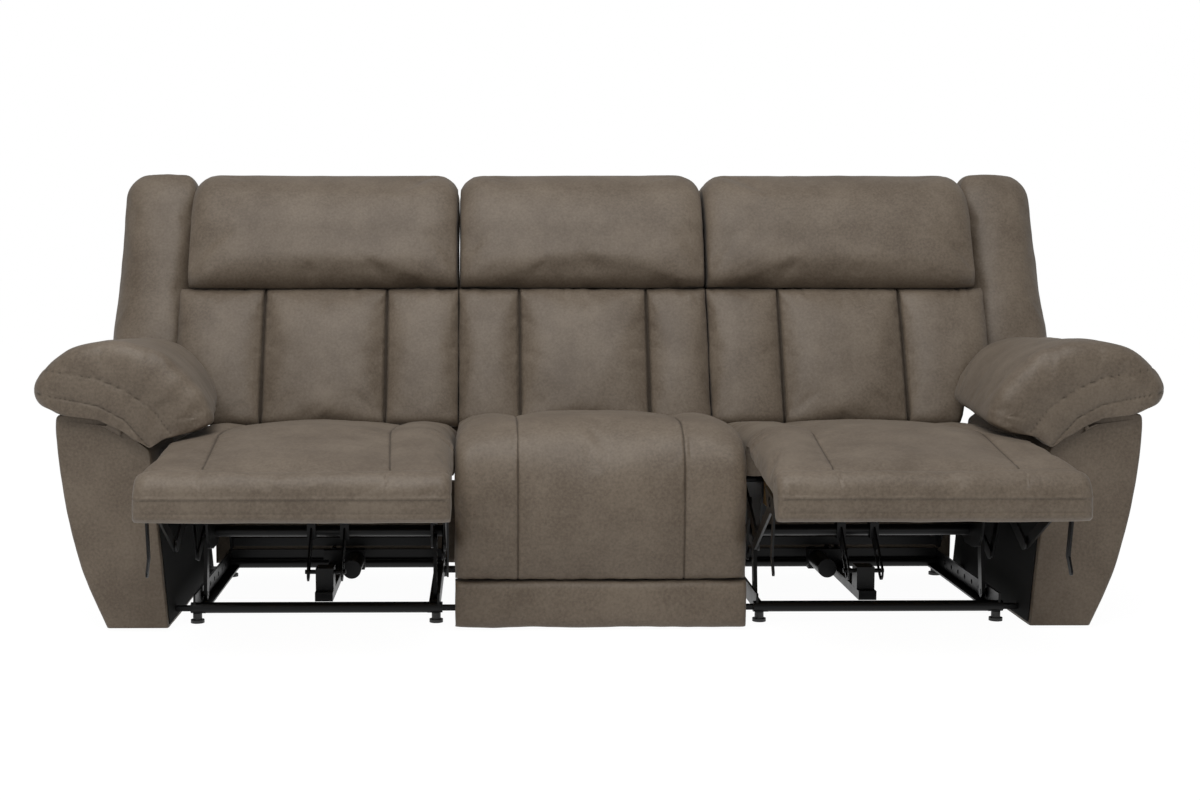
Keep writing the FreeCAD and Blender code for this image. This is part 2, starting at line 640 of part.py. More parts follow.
def head_pillow(x0, x1):
    def outline(crown):
        return [(782.5, PILLOW_Z + 2.5, 0.0), (884.4, 960.0, 0.0), (871.0, 994.0, 3.0),
                (822.0, BACK_TOP, 6.0), (746.0, 968.0, 18.0), (660.0, 800.0, 16.0), (640.0, 738.0, 4.0),
                (658.0, PILLOW_Z + 1.0, 7.0)]
    stations = soft_stations(x0, x1, 0.85, 0.85, 0.0, PILLOW_ROUND)
    return loft_x(stations, outline, (787.0, 727.0))


def back_frame(x0, x1, hinged):
    """Timber back: two uprights, cross rails and two top arms."""
    def rail(z0, z1, d0, d1):
        y0 = front_y(z0)
        y1 = front_y(z1)
        return [(y0 + d0, z0), (y0 + d1, z0), (y1 + d1, z1), (y1 + d0, z1)]
    d0 = PAD_DEPTH + 0.35
    d1 = PAD_DEPTH + 34.0
    post = rail(306.3, 700.0, d0, d1)
    pieces = [plate_x(post, x0, x0 + 30.0), plate_x(post, x1 - 30.0, x1)]
    for z in (390.0, 500.0, 640.0):
        pieces.append(plate_x(rail(z, z + 60.0, d0, d1), x0, x1))
    top = [(720.0, 680.0), (752.0, 680.0), (816.0, 700.0), (899.0, 944.0), (886.0, 944.0), (786.0, 702.0)]
    for a in (x0, x1 - 30.0):
        pieces.append(plate_x(top, a, a + 30.0))
    pieces.append(plate_x([(880.0, 928.0), (893.0, 928.0), (899.0, 944.0), (886.0, 944.0)], x0, x1))
    shape = pieces[0].fuse(pieces[1:])
    if hinged:
        shape = shape.cut(cyl_x(x0 - 1.0, x1 + 1.0, BACK_PIVOT[0], BACK_PIVOT[1], 8.0 + RUN))
    return shape.removeSplitter()


def back_cover(x0, x1, x_low):
    """Outside back: rear panel with side and top returns, open at the front and below."""
    def shell(a, b, inset, ahead, below):
        gap = PAD_DEPTH + 0.5
        pts = [(front_y(300.0) + gap - ahead, 300.0 - below), (700.0 - inset, 296.0 - below),
               (BACK_REAR - 1.0 - inset, 930.0), (BACK_REAR - 9.0 - inset, 980.0 - inset),
               (888.0 - ahead, 1000.0 - inset), (886.0 - ahead, 962.0), (782.0 - ahead, 712.0),
               (front_y(708.0) + gap - ahead, 708.0)]
        return plate_x(pts, a, b)
    shape = shell(x0, x1, 0.0, 0.0, 0.0).cut(shell(x0 + 10.0, x1 - 10.0, 10.0, 60.0, 30.0))
    if x_low < x1:
        shape = shape.cut(box(x_low, x1 + 5.0, 500.0, 960.0, 280.0, 470.0))
        inner = box(x_low - 10.0, x_low, 560.0, 960.0, 280.0, 480.0).common(shell(x0, x1, 0.0, 0.0, 0.0))
        shelf = box(x_low - 10.0, x1, 560.0, 960.0, 470.0, 480.0).common(shell(x0, x1, 0.0, 0.0, 0.0))
        shape = shape.fuse([inner, shelf])
    return shape.removeSplitter()


def wing():
    """Padded wing at the outer side of an outer back, drawn in towards the top."""
    rows = [(478.0, 0.0, 188.0, 16.0, 130.0), (500.0, 0.0, 192.0, 4.0, 146.0),
            (560.0, 0.0, 193.0, 4.0, 160.0), (620.0, 0.0, 190.0, 4.0, 166.0),
            (700.0, 0.0, 180.0, 8.0, 164.0), (836.0, 0.0, 160.0, 14.0, 150.0),
            (920.0, 0.0, 146.0, 22.0, 132.0), (965.0, 3.0, 136.0, 30.0, 120.0),
            (990.0, 12.0, 122.0, 42.0, 110.0), (1003.0, 32.0, 98.0, 54.0, 92.0)]
    wires = []
    for z, inset, width, near, far in rows:
        xa = PILLOW_OUT + WING_GAP + inset
        xb = PILLOW_OUT + width
        base = front_y(min(z, 712.0)) + 0.36 * max(z - 712.0, 0.0) + PAD_DEPTH
        ya = base + near
        yb = base + far
        r = min(34.0, (yb - ya) * 0.3)
        ring = [(xa, yb, 0.0), (xa, ya + r, 0.0), (xa + r, ya, r * 0.29), (xb - r, ya, 4.0),
                (xb, ya + r, r * 0.29), (xb, yb - r, 3.0), (xb - r, yb, r * 0.29)]
        wires.append(loop(ring, lambda p, z=z: V(p[0], p[1], z)))
    return Part.makeLoft(wires, True, True)


# Fixed middle seat
def centre_seat_pad():
    def outline(crown):
        return [(-50.35, 332.6, 0.0), (486.0, 332.6, 0.0), (490.0, 386.0, 4.0),
                (462.0, 408.0 + crown * 0.4, 7.0), (150.0, 437.0 + crown, 4.0), (-30.0, 442.0 + crown, 4.0),
                (-98.0, 400.0 + crown * 0.3, 12.0),
                (-118.0, 270.0, 8.0), (-106.0, 110.0, 4.0), (-50.35, 110.0, 0.0)]
    return loft_x(soft_stations(-CENTRE_HALF, CENTRE_HALF, 0.985, 0.93, 10.0), outline, (-50.35, 332.6))


def centre_kick_band():
    def outline(crown):
        return [(-50.35, 6.0, 0.0), (-50.35, 109.65, 0.0), (-96.0, 109.65, 0.0), (-106.0, 98.0, 2.5),
                (-107.0, 16.0, 1.5), (-98.0, 6.0, 2.5)]
    return loft_x(soft_stations(-CENTRE_HALF, CENTRE_HALF, 0.97, 0.985, 0.0), outline, (-50.35, 57.0))


def centre_seat_frame():
    x = CENTRE_TIMBER
    base = box(-x, x, -50.0, 520.0, 25.0, 328.0)
    well = box(-x + 25.0, x - 25.0, -22.0, 492.0, 20.0, 335.0)
    side = box(-x - 1.0, x + 1.0, 60.0, 410.0, 90.0, 240.0)
    front = box(-x + 60.0, x - 60.0, -60.0, 530.0, 110.0, 240.0)
    posts = [box(-x, -x + 30.0, 519.0, 550.4, 25.0, 306.0), box(x - 30.0, x, 519.0, 550.4, 25.0, 306.0)]
    frame = base.cut([well, side, front])
    cross = box(-x + 20.0, x - 20.0, 235.0, 275.0, 255.0, 318.0)
    feet = []
    for x_foot in (28.0 - CENTRE_TIMBER, CENTRE_TIMBER - 28.0):
        for y in (-30.0, 498.0):
            feet.append(box(x_foot - 28.0, x_foot + 28.0, y - 20.0, y + 20.0, 25.0, 60.0))
    return frame.fuse([cross, box(-x, x, 519.0, 550.4, 250.0, 300.0)] + posts + feet).removeSplitter()


def rear_valances():
    """Flat upholstered panels that close the space below the backs at the rear."""
    out = []
    near = BACK_IN + 3.0
    middle = CENTRE_BACK - 3.0
    for x0, x1 in ((-BACK_LOW_OUT, -near), (-middle, middle), (near, BACK_LOW_OUT)):
        out.append(box(x0, x1, 550.8, 562.8, 28.0, 240.0))
    return out


def put(pieces, name, shape):
    solids = []
    if isinstance(shape, (list, tuple)):
        for item in shape:
            solids.extend(item.Solids)
    else:
        solids = shape.Solids
    pieces[name] = Part.Compound(solids) if len(solids) > 1 else solids[0]


def make_pieces():
    pieces = {}
    frame = base_frame()
    put(pieces, "base_frames", [frame, mirrored(frame)])
    put(pieces, "floor_glides", glides())
    links, top = swing_links()
    cover = arm_cover()
    pillow = arm_pillow()
    timber = arm_frame()
    dust = arm_dust_panel()
    switch = switch_plate()
    put(pieces, "arm_frames", [timber, mirrored(timber)])
    put(pieces, "arm_dust_panels", [dust, mirrored(dust)])
    put(pieces, "switch_plates", [switch, mirrored(switch)])
    shapes = {
        "arm_cover": cover, "arm_pillow": pillow,
        "open_button": button(SWITCH_Z + 19.0), "close_button": button(SWITCH_Z - 19.0),
        "seat_frame": seat_frame(MECH_X - S_TIMBER, MECH_X + S_TIMBER, -38.0, 500.0, 255.0, 322.0),
        "seat_springs": springs(MECH_X - S_TIMBER + 29.9, MECH_X + S_TIMBER - 29.9, -24.0, 486.0, 324.2, 4),
        "seat_cushion": seat_cushion(), "side_plates": side_plates(), "drive_unit": drive_unit(),
        "drive_carriage": drive_carriage(), "torque_tube": torque_tube(), "drive_links": drive_links(),
        "rear_arms": rear_arms(), "front_links": front_links(), "legrest_board": legrest_board(),
        "legrest_pad": legrest_pad(), "legrest_brackets": legrest_brackets(), "swing_links": links,
        "back_frame": back_frame(BACK_IN + 18.0, BACK_LOW_OUT - 21.0, True),
        "back_cushion": back_cushion(CHANNEL_EDGES, BACK_BOTTOM, PILLOW_Z - 3.0),
        "head_pillow": head_pillow(BACK_IN, PILLOW_OUT),
        "back_cover": back_cover(BACK_IN, PILLOW_OUT, BACK_LOW_OUT), "wing": wing(),
    }
    for name in shapes:
        item = shapes[name]
        put(pieces, name + "_right", item)
        if isinstance(item, (list, tuple)):
            put(pieces, name + "_left", [mirrored(s) for s in item])
        else:
            put(pieces, name + "_left", mirrored(item))
    put(pieces, "centre_seat_frame", centre_seat_frame())
    wide = CENTRE_TIMBER - 28.0
    put(pieces, "centre_seat_springs", springs(-wide, wide, -36.0, 506.0, 330.2, 5))
    put(pieces, "centre_seat_pad", centre_seat_pad())
    put(pieces, "centre_kick_band", centre_kick_band())
    put(pieces, "centre_back_frame", back_frame(17.0 - CENTRE_BACK, CENTRE_BACK - 17.0, False))
    put(pieces, "centre_back_cushion", back_cushion(CENTRE_EDGES, BACK_BOTTOM, PILLOW_Z - 3.0))
    put(pieces, "centre_head_pillow", head_pillow(-CENTRE_BACK, CENTRE_BACK))
    put(pieces, "centre_back_cover", back_cover(-CENTRE_BACK, CENTRE_BACK, CENTRE_BACK))
    put(pieces, "rear_valances", rear_valances())
    for name in pieces:
        pieces[name].translate(V(0, Y_SHIFT, 0))
    return pieces


def main():
    os.makedirs("parts", exist_ok=True)
    pieces = make_pieces()
    for name in sorted(pieces):
        pieces[name].exportStep("parts/" + name + ".step")
    print(len(pieces), "pieces")
    arms = arm_angle(LEGREST_SWING) - arm_angle(0.0)
    links = link_angle(LEGREST_SWING) - link_angle(0.0)
    print("legrest closes by", LEGREST_SWING, "degrees")
    print("rear arms turn", round(arms, 2), "and front links", round(links, 2), "degrees")
    print("back reclines by", BACK_SWING, "deg while its seat glides", SEAT_GLIDE, "mm forward")


if __name__ == "__main__":
    main()
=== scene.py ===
import json
import math
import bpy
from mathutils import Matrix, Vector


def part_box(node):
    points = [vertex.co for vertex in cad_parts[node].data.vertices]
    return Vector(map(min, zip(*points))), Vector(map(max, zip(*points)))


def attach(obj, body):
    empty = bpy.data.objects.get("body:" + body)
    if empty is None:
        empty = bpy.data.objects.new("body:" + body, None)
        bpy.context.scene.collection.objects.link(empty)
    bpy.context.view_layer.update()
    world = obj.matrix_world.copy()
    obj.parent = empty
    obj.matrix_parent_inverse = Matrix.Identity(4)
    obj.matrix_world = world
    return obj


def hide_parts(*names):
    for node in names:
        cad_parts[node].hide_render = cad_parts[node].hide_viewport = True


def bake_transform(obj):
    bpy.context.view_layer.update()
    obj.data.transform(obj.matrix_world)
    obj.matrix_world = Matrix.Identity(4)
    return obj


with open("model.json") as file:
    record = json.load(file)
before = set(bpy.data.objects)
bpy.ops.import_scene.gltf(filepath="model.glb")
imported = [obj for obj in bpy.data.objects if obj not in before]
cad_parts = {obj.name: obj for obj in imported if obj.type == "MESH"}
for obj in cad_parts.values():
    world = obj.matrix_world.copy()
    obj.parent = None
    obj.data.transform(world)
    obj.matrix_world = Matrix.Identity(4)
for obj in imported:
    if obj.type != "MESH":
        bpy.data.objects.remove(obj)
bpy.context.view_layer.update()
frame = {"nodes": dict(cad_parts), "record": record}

from types import SimpleNamespace

import bpy
import numpy as np
from bpy.props import FloatProperty, FloatVectorProperty, PointerProperty

bl_info = {
    "name": "Three-Seat Reclining Sofa",
    "version": (1, 0, 0),
    "blender": (4, 5, 0),
    "location": "3D Viewport > Sidebar > Sofa",
    "description": "Dresses the frame of a three-seat reclining sofa in taupe leather",
    "category": "Object",
}

# Shapes below are in millimetres, with y = 0 at the front feet of the sofa.
# ROW_Y is where those feet stand in the frame, in metres.
MM = 0.001
REAR_FACE = 562.8
ROW_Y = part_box("rear_valances")[1].y - REAR_FACE * MM

# Places that follow the frame
SEAT_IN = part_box("seat_cushion_right")[0].x / MM
SEAT_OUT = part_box("seat_cushion_right")[1].x / MM
CENTRE_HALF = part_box("centre_seat_pad")[1].x / MM
PILLOW_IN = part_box("head_pillow_right")[0].x / MM
PILLOW_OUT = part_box("head_pillow_right")[1].x / MM
CENTRE_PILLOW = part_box("centre_head_pillow")[1].x / MM
CHANNEL_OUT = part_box("back_cushion_right")[1].x / MM
SIDE_SWELL = 2.5            # how far a stuffed side swells past its board towards its neighbour
BACK_LOW_OUT = 922.0        # outer side of an outer back below the top of the arm

# Seams
CHANNEL_SEAMS = (496.0, 804.0)
CENTRE_CHANNEL_SEAMS = (-161.0, 161.0)
SEAT_SEAMS = (450.0, 813.0)
CENTRE_SEAT_SEAMS = (-178.0, 178.0)
CREASE = (-427.0, 382.0)
WELT = (-489.0, 341.0)
LOWER_SEAM = (-489.5, 318.0)
HINGE = (-98.0, 412.0)
FAR = 999.0                 # distance given to points that have no seam near

# Folds of loose leather
LONG_FOLD = 150.0
SHORT_FOLD = 55.0
SEAM_CALM = 25.0            # beside a seam the leather is taut over this distance
SEAM_LINE = 1.3             # half width of the painted shade line along a seam, drawn dark in place of its shadow

# The backs lean on a line that rises from the rear of the seat
BACK_SLOPE = 0.43
BACK_FOOT = (500.0, 390.0)
PAD_DEPTH = 62.0
BACK_LOW = 373.0
BACK_HIGH = 712.4
ARM_STEP = 98.0             # how much higher the foot of a back stands beside the arm


def front_y(z):
    return BACK_FOOT[0] + BACK_SLOPE * (z - BACK_FOOT[1])


def linear(hex_colour):
    """sRGB hex to linear: each channel follows the sRGB curve backwards."""
    values = []
    for k in (1, 3, 5):
        c = int(hex_colour[k:k + 2], 16) / 255.0
        values.append(c / 12.92 if c <= 0.04045 else ((c + 0.055) / 1.055) ** 2.4)
    return values


def rgba(colour):
    return (colour[0], colour[1], colour[2], 1.0)


def length(name, description, default, most, least=0.0):
    return FloatProperty(name=name, description=description, default=default, min=least, max=most,
                         unit="LENGTH")


def colour(name, description, default):
    return FloatVectorProperty(name=name, description=description, default=linear(default),
                               subtype="COLOR", size=3, min=0.0, max=1.0)


class SofaSizes(bpy.types.PropertyGroup):
    seam_depth: length("Seam depth", "How deep a flat sewn seam sinks into the leather", 0.0018, 0.01)
    seam_width: length("Seam width", "Half width of the furrow beside a flat seam", 0.0028, 0.02, 0.001)
    pressure: FloatProperty(name="Stuffing pressure", description="Pressure that fills the cushions",
                            default=4.0, min=0.0, max=20.0)
    cap: length("Largest swell", "How far stuffing may move the leather", 0.024, 0.05)
    grain: length("Leather grain", "Width of a pebble of the leather grain", 0.0016, 0.01, 0.0005)
    slack: length("Slack folds", "Height of the soft folds in loose leather", 0.0010, 0.01)


class SofaColours(bpy.types.PropertyGroup):
    leather: colour("Leather", "Main colour of the leather", "#706456")
    leather_deep: colour("Leather, deep tone", "Darker tone of the dye", "#594d40")
    # painted shade: the colour that darkens the seam furrows in place of the shadow in them
    seam_shade_colour: colour("Seam tone", "Leather inside a seam furrow", "#1d1813")
    steel: colour("Painted steel", "Black paint of the mechanism", "#070708")


def sizes():
    return bpy.context.scene.sofa_sizes


def colours():
    return bpy.context.scene.sofa_colours


# Lines and grids

def corner_line(corners, steps=7):
    """Polyline through corners (a, b, radius). A corner with a radius is a quadratic curve
    that leaves and meets its two sides at that distance, or at half a side if it is shorter."""
    out = [np.array(corners[0][:2], float)]
    for before, here, after in zip(corners, corners[1:], corners[2:]):
        a, c, b = (np.array(p[:2], float) for p in (before, here, after))
        to_a, to_b = a - c, b - c
        len_a, len_b = np.hypot(*to_a), np.hypot(*to_b)
        r = here[2] if len(here) > 2 else 0.0
        if r < 0.01:
            out.append(c)
            continue
        p = c + to_a / len_a * min(r, 0.5 * len_a)
        q = c + to_b / len_b * min(r, 0.5 * len_b)
        for t in np.linspace(0.0, 1.0, steps):
            out.append(p * (1 - t) ** 2 + c * 2 * t * (1 - t) + q * t ** 2)
    out.append(np.array(corners[-1][:2], float))
    return np.array(out)


def run(corners, count):
    """count + 1 points evenly spaced along the line through corners."""
    line = corner_line(corners)
    at = np.concatenate([[0.0], np.cumsum(np.hypot(*np.diff(line, axis=0).T))])
    want = np.linspace(0.0, at[-1], count + 1)
    return np.stack([np.interp(want, at, line[:, 0]), np.interp(want, at, line[:, 1])], axis=1)


def side_line(parts, counts):
    """One side of a section: its parts, each with its own number of steps, one after the other."""
    rows = [run(part, n)[:-1] for part, n in zip(parts, counts)]
    return np.concatenate(rows + [np.array([parts[-1][-1][:2]], float)])


def quarter(u):
    """Height of a quarter circle at u: 0 at 0, steep at first, level where it reaches 1."""
    return math.sqrt(1.0 - (1.0 - u) ** 2)


def shoulder(u):
    """Drop of a quarter circle at u: level at 0, and 1 from u = 1 on."""
    return 1.0 - math.sqrt(max(0.0, 1.0 - min(u, 1.0) ** 2))


def turn_in(lip, count):
    """Distances from an end, evenly spaced by angle round a quarter circle of radius lip."""
    return lip * (1.0 - np.cos(np.linspace(0.0, 0.5 * np.pi, count)))


def stations(low, high, seams, step, lip=0.0):
    """Places across a piece: even steps, finer beside each seam and in the rounded ends."""
    near = np.array([0.0, 1.2, 3.4, 6.8, 11.5, 18.0])
    closest = 1.1
    at = [np.arange(low, high + 0.5 * step, step)]
    for seam in seams:
        at.append(seam + near)
        at.append(seam - near)
    if lip > 0.0:
        at.append(low + turn_in(lip, 8))
        at.append(high - turn_in(lip, 8))
    at.append([low, high])
    places = np.unique(np.round(np.concatenate(at), 3))
    places = places[(places >= low) & (places <= high)]
    fixed = set(np.round(list(seams) + [low, high], 3))
    kept = [places[0]]
    for x in places[1:]:
        if x - kept[-1] < closest:
            if x in fixed:
                kept[-1] = x
            continue
        kept.append(x)
    return np.array(kept)


def strip(grid):
    """Quads between neighbouring rows and columns of a grid of point numbers."""
    return np.stack([grid[:-1, :-1], grid[1:, :-1], grid[1:, 1:], grid[:-1, 1:]], axis=-1).reshape(-1, 4)


def new_form(points, quads, tris, where=None):
    """A form without seams and held all over, until it is given them. Where is 0 on its front sheet,
    1 on the rear one and 2 on its ends. Room is the lowest and the highest corner it may reach."""
    return SimpleNamespace(points=points, quads=quads, tris=tris, where=where, room=None,
                           seam=np.full(len(points), FAR), held=np.full(len(points), True))


def skin(front, rear, rows=8, dome=(0.0, 0.0), open_start=False):
    """Closed skin between two sheets, each stations by points by 3, that share their edge lines.
    Every station is a ring, out along the front sheet and back along the rear one. An end sheet
    closes the first and the last ring: straight lines between the two sheets, pushed outwards by
    dome times 4t(1 - t) across and a sine along, so that its rim stays in place."""
    count = front.shape[1]
    first = 0 if open_start else 1
    inner = rear[:, first:-1]
    f = np.arange(front.shape[0] * count).reshape(-1, count)
    r = f.size + np.arange(inner.shape[0] * inner.shape[1]).reshape(inner.shape[:2])
    points = [front.reshape(-1, 3), inner.reshape(-1, 3)]
    where = [np.zeros(f.size), np.ones(r.size)]
    ring = np.concatenate([f, r[:, ::-1]], axis=1)
    if not open_start:
        ring = np.concatenate([ring, ring[:, :1]], axis=1)
    quads, tris = [strip(ring)], []
    total = f.size + r.size
    for end, next_to, push in ((0, 1, dome[0]), (-1, -2, dome[1])):
        a, b = front[end, first:-1], inner[end]
        t = np.linspace(0.0, 1.0, rows + 1)[1:-1, None, None]
        along = np.sin(np.pi * (np.arange(len(a)) + 0.5) / len(a))[None, :, None]
        out = (front[end] - front[next_to]).mean(axis=0)
        out = out / max(np.linalg.norm(out), 1e-9)
        sheet = a * (1 - t) + b * t + 4 * t * (1 - t) * along * push * out
        ids = total + np.arange(sheet.shape[0] * sheet.shape[1]).reshape(sheet.shape[:2])
        total += ids.size
        points.append(sheet.reshape(-1, 3))
        where.append(np.full(ids.size, 2.0))
        grid = np.concatenate([f[end:end + 1 or None, first:count - 1], ids, r[end:end + 1 or None]])
        cap = strip(grid)
        tip = np.full(rows, f[end, -1])
        fans = [np.stack([grid[:-1, -1], tip, grid[1:, -1]], axis=1)]
        if not open_start:
            root = np.full(rows, f[end, 0])
            fans.append(np.stack([grid[1:, 0], root, grid[:-1, 0]], axis=1))
        fan = np.concatenate(fans)
        quads.append(cap[:, ::-1] if end == 0 else cap)
        tris.append(fan if end == 0 else fan[:, ::-1])
    form = new_form(*(np.concatenate(part) for part in (points, quads, tris, where)))
    p = form.points
    volume = 0.0
    for a, b, c in (form.quads[:, :3].T, form.quads[:, [0, 2, 3]].T, form.tris.T):
        volume += np.einsum("ij,ij->i", p[a], np.cross(p[b], p[c])).sum()
    if volume < 0.0:
        form.quads = form.quads[:, ::-1]
        form.tris = form.tris[:, ::-1]
    return form


def rim(x, low, high, lip, least):
    """Share of full size at x: a quarter ellipse from least at an end to 1 one lip away."""
    u = np.clip(np.minimum(x - low, high - x) / lip, 0.0, 1.0)
    return least + (1.0 - least) * quarter(u)


def swept_x(places, section):
    """Sheets of a piece that runs across the sofa: a y z section at every place along X."""
    fronts, rears = [], []
    for x in places:
        front, rear = section(x)
        fronts.append(np.column_stack([np.full(len(front), x), front]))
        rears.append(np.column_stack([np.full(len(rear), x), rear]))
    return np.array(fronts), np.array(rears)


def waves(points, size, seed, count=14):
    """Smooth random field: a sum of plane waves with seeded headings and phases, whose crests lie
    about size apart."""
    rng = np.random.default_rng(seed)
    heading = rng.normal(size=(count, 3))
    heading /= np.linalg.norm(heading, axis=1)[:, None]
    crest = size * rng.uniform(0.7, 1.5, count)
    phase = rng.uniform(0.0, 2.0 * np.pi, count)
    turns = points @ (heading * (2.0 * np.pi / crest)[:, None]).T + phase
    return np.sin(turns).sum(axis=1) / math.sqrt(count)


def to_seams(points, across=(), bars=(), inside=None):
    """Distance in mm from each point to the nearest seam: across are the x of seams that run
    front to back, bars the (y, z) of seams that run from side to side."""
    gaps = [np.abs(points[:, 0] - x) for x in across]
    gap = np.min(gaps, axis=0) if gaps else np.full(len(points), FAR)
    if inside is not None:
        gap = np.where(inside, gap, FAR)
    for y, z in bars:
        gap = np.minimum(gap, np.hypot(points[:, 1] - y, points[:, 2] - z))
    return np.minimum(gap, FAR)


# Meshes

def to_row(points):
    """Millimetres of the shapes to metres of the frame."""
    out = np.array(points, float) * MM
    out[:, 1] += ROW_Y
    return out


def from_row(points):
    out = np.array(points, float)
    out[:, 1] -= ROW_Y
    return out / MM


def new_object(name, points, quads, tris=None, **marks):
    mesh = bpy.data.meshes.new(name)
    faces = quads.tolist() + (tris.tolist() if tris is not None else [])
    mesh.from_pydata(to_row(points), [], faces)
    for key, values in marks.items():
        mesh.attributes.new(key, "FLOAT", "POINT").data.foreach_set("value", np.asarray(values, np.float32))
    obj = bpy.data.objects.new(name, mesh)
    bpy.context.scene.collection.objects.link(obj)
    return obj


def coordinates(mesh):
    co = np.zeros(len(mesh.vertices) * 3, np.float32)
    mesh.vertices.foreach_get("co", co)
    return co.reshape(-1, 3).astype(float)


def swell(form, share=1.0, spare=0.006):
    """Points of a form after stuffing: cloth under inner pressure, without gravity, whose seams and
    hidden back are held; no point moves further than the cap, and none leaves the room it has.
    Spare is the share by which the leather is cut larger than its form, which lets it pucker."""
    points = form.points
    obj = new_object("stuffing", points, form.quads, form.tris)
    group = obj.vertex_groups.new(name="held")
    group.add(np.flatnonzero(form.held).tolist(), 1.0, "ADD")
    steps = 20
    cloth = obj.modifiers.new("Stuffing", "CLOTH")
    s = cloth.settings
    s.quality = 4
    s.mass = 0.3
    s.tension_stiffness = 12.0
    s.compression_stiffness = 12.0
    s.shear_stiffness = 6.0
    s.bending_stiffness = 0.6
    s.use_pressure = True
    s.uniform_pressure_force = sizes().pressure * share
    s.shrink_min = -spare
    s.vertex_group_mass = "held"
    s.effector_weights.gravity = 0.0
    cloth.collision_settings.use_collision = False
    cloth.point_cache.frame_start = 1
    cloth.point_cache.frame_end = steps
    for step in range(1, steps + 1):
        bpy.context.scene.frame_set(step)
    shown = obj.evaluated_get(bpy.context.evaluated_depsgraph_get())
    after = from_row(coordinates(shown.data))
    old = obj.data
    bpy.data.objects.remove(obj)
    bpy.data.meshes.remove(old)
    bpy.context.scene.frame_set(1)
    move = after - points
    size = np.linalg.norm(move, axis=1)
    cap = sizes().cap / MM * share
    # the longest moves level off towards the cap instead of being cut at it
    move *= (cap * np.tanh(size / cap) / np.maximum(size, 1e-6))[:, None]
    move[form.held] = 0.0
    points = points + move
    if form.room is not None:
        points = np.clip(points, *form.room)
    return points


def dress(name, form, points, side, seed, creases=None, soft=1.0, deep=1.0, seam_shade=0.6):
    """Finished leather piece: the stuffed skin is smoothed by one subdivision, then its seams are
    sunk by a bell curve of the distance to the seam, and soft folds rise along the normals. Deep
    is how many times deeper and wider than a flat seam the furrows are, and the seam shade how
    strongly painted shade darkens them in place of their shadow."""
    turned = points * np.array([side, 1.0, 1.0])
    quads, tris = (form.quads, form.tris) if side > 0 else (form.quads[:, ::-1], form.tris[:, ::-1])
    base = new_object(name + "_base", turned, quads, tris, seam=form.seam, firm=form.held.astype(float))
    smooth = base.modifiers.new("Smooth", "SUBSURF")
    smooth.levels = 1
    smooth.render_levels = 1
    shown = base.evaluated_get(bpy.context.evaluated_depsgraph_get())
    mesh = bpy.data.meshes.new_from_object(shown)
    mesh.name = name
    old = base.data
    bpy.data.objects.remove(base)
    bpy.data.meshes.remove(old)
    co = coordinates(mesh)
    normal = np.zeros(len(co) * 3, np.float32)
    mesh.vertices.foreach_get("normal", normal)
    normal = normal.reshape(-1, 3)
    seam = np.zeros(len(co), np.float32)
    mesh.attributes["seam"].data.foreach_get("value", seam)
    place = from_row(co)
    depth = sizes().seam_depth / MM * deep
    width = sizes().seam_width / MM * math.sqrt(deep)
    lift = -depth * np.exp(-(seam / width) ** 2)
    free = 1.0 - np.exp(-(seam / SEAM_CALM) ** 2)
    slack = sizes().slack / MM * soft
    lift += slack * free * (0.9 * waves(place, LONG_FOLD, seed) + 0.35 * waves(place, SHORT_FOLD, seed + 1))
    if creases is not None:
        lift += creases(place * np.array([side, 1.0, 1.0]), seed) * soft
    co = co + normal * (lift * MM)[:, None]
    mesh.vertices.foreach_set("co", co.astype(np.float32).ravel())
    # painted shade: a dark share along each seam line, stored in the seam attribute so that the leather
    # darkens the furrow in place of its shadow
    tone = (seam_shade * np.exp(-(seam / SEAM_LINE) ** 2)).astype(np.float32)
    mesh.attributes["seam"].data.foreach_set("value", tone)
    mesh.attributes.new("rest_place", "FLOAT_VECTOR", "POINT").data.foreach_set(
        "vector", co.astype(np.float32).ravel())
    mesh.attributes.remove(mesh.attributes["firm"])
    mesh.shade_smooth()
    mesh.update()
    obj = bpy.data.objects.new(name, mesh)
    bpy.context.scene.collection.objects.link(obj)
    obj.data.materials.append(leather())
    return obj


SIDES = (("right", 1.0), ("left", -1.0))


def piece(name, form, points, side, seed, body, node, fill, case=0.0, **looks):
    """A dressed piece that rides on its body and replaces its node of the frame; fill is not used.
    Case is the thickness of an open shell, which is added inwards."""
    obj = dress(name, form, points, side, seed, **looks)
    if case > 0.0:
        wall = obj.modifiers.new("Wall", "SOLIDIFY")
        wall.thickness = case
        wall.offset = -1.0
    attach(obj, body)
    if node:
        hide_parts(node)


def pair(name, form, points, seed, body, node, fill, **looks):
    """A piece on the right and its mirror image on the left. {} in a name stands for the side."""
    for k, (word, side) in enumerate(SIDES):
        piece(name.format(word), form, points, side, seed + k, body.format(word), node.format(word),
              fill, **looks)


# Materials

def add(tree, kind, inputs=None, **settings):
    """One shader node: settings are its own fields, inputs are constants or other nodes' sockets."""
    node = tree.nodes.new("ShaderNode" + kind)
    for key, value in settings.items():
        setattr(node, key, value)
    for key, value in (inputs or {}).items():
        if isinstance(value, bpy.types.NodeSocket):
            tree.links.new(value, node.inputs[key])
        else:
            node.inputs[key].default_value = value
    return node


def material(name, build):
    found = bpy.data.materials.get(name)
    if found:
        return found
    mat = bpy.data.materials.new(name)
    mat.use_nodes = True
    mat.node_tree.nodes.clear()
    shader = build(mat.node_tree)
    add(mat.node_tree, "OutputMaterial", {"Surface": shader.outputs[0]})
    return mat


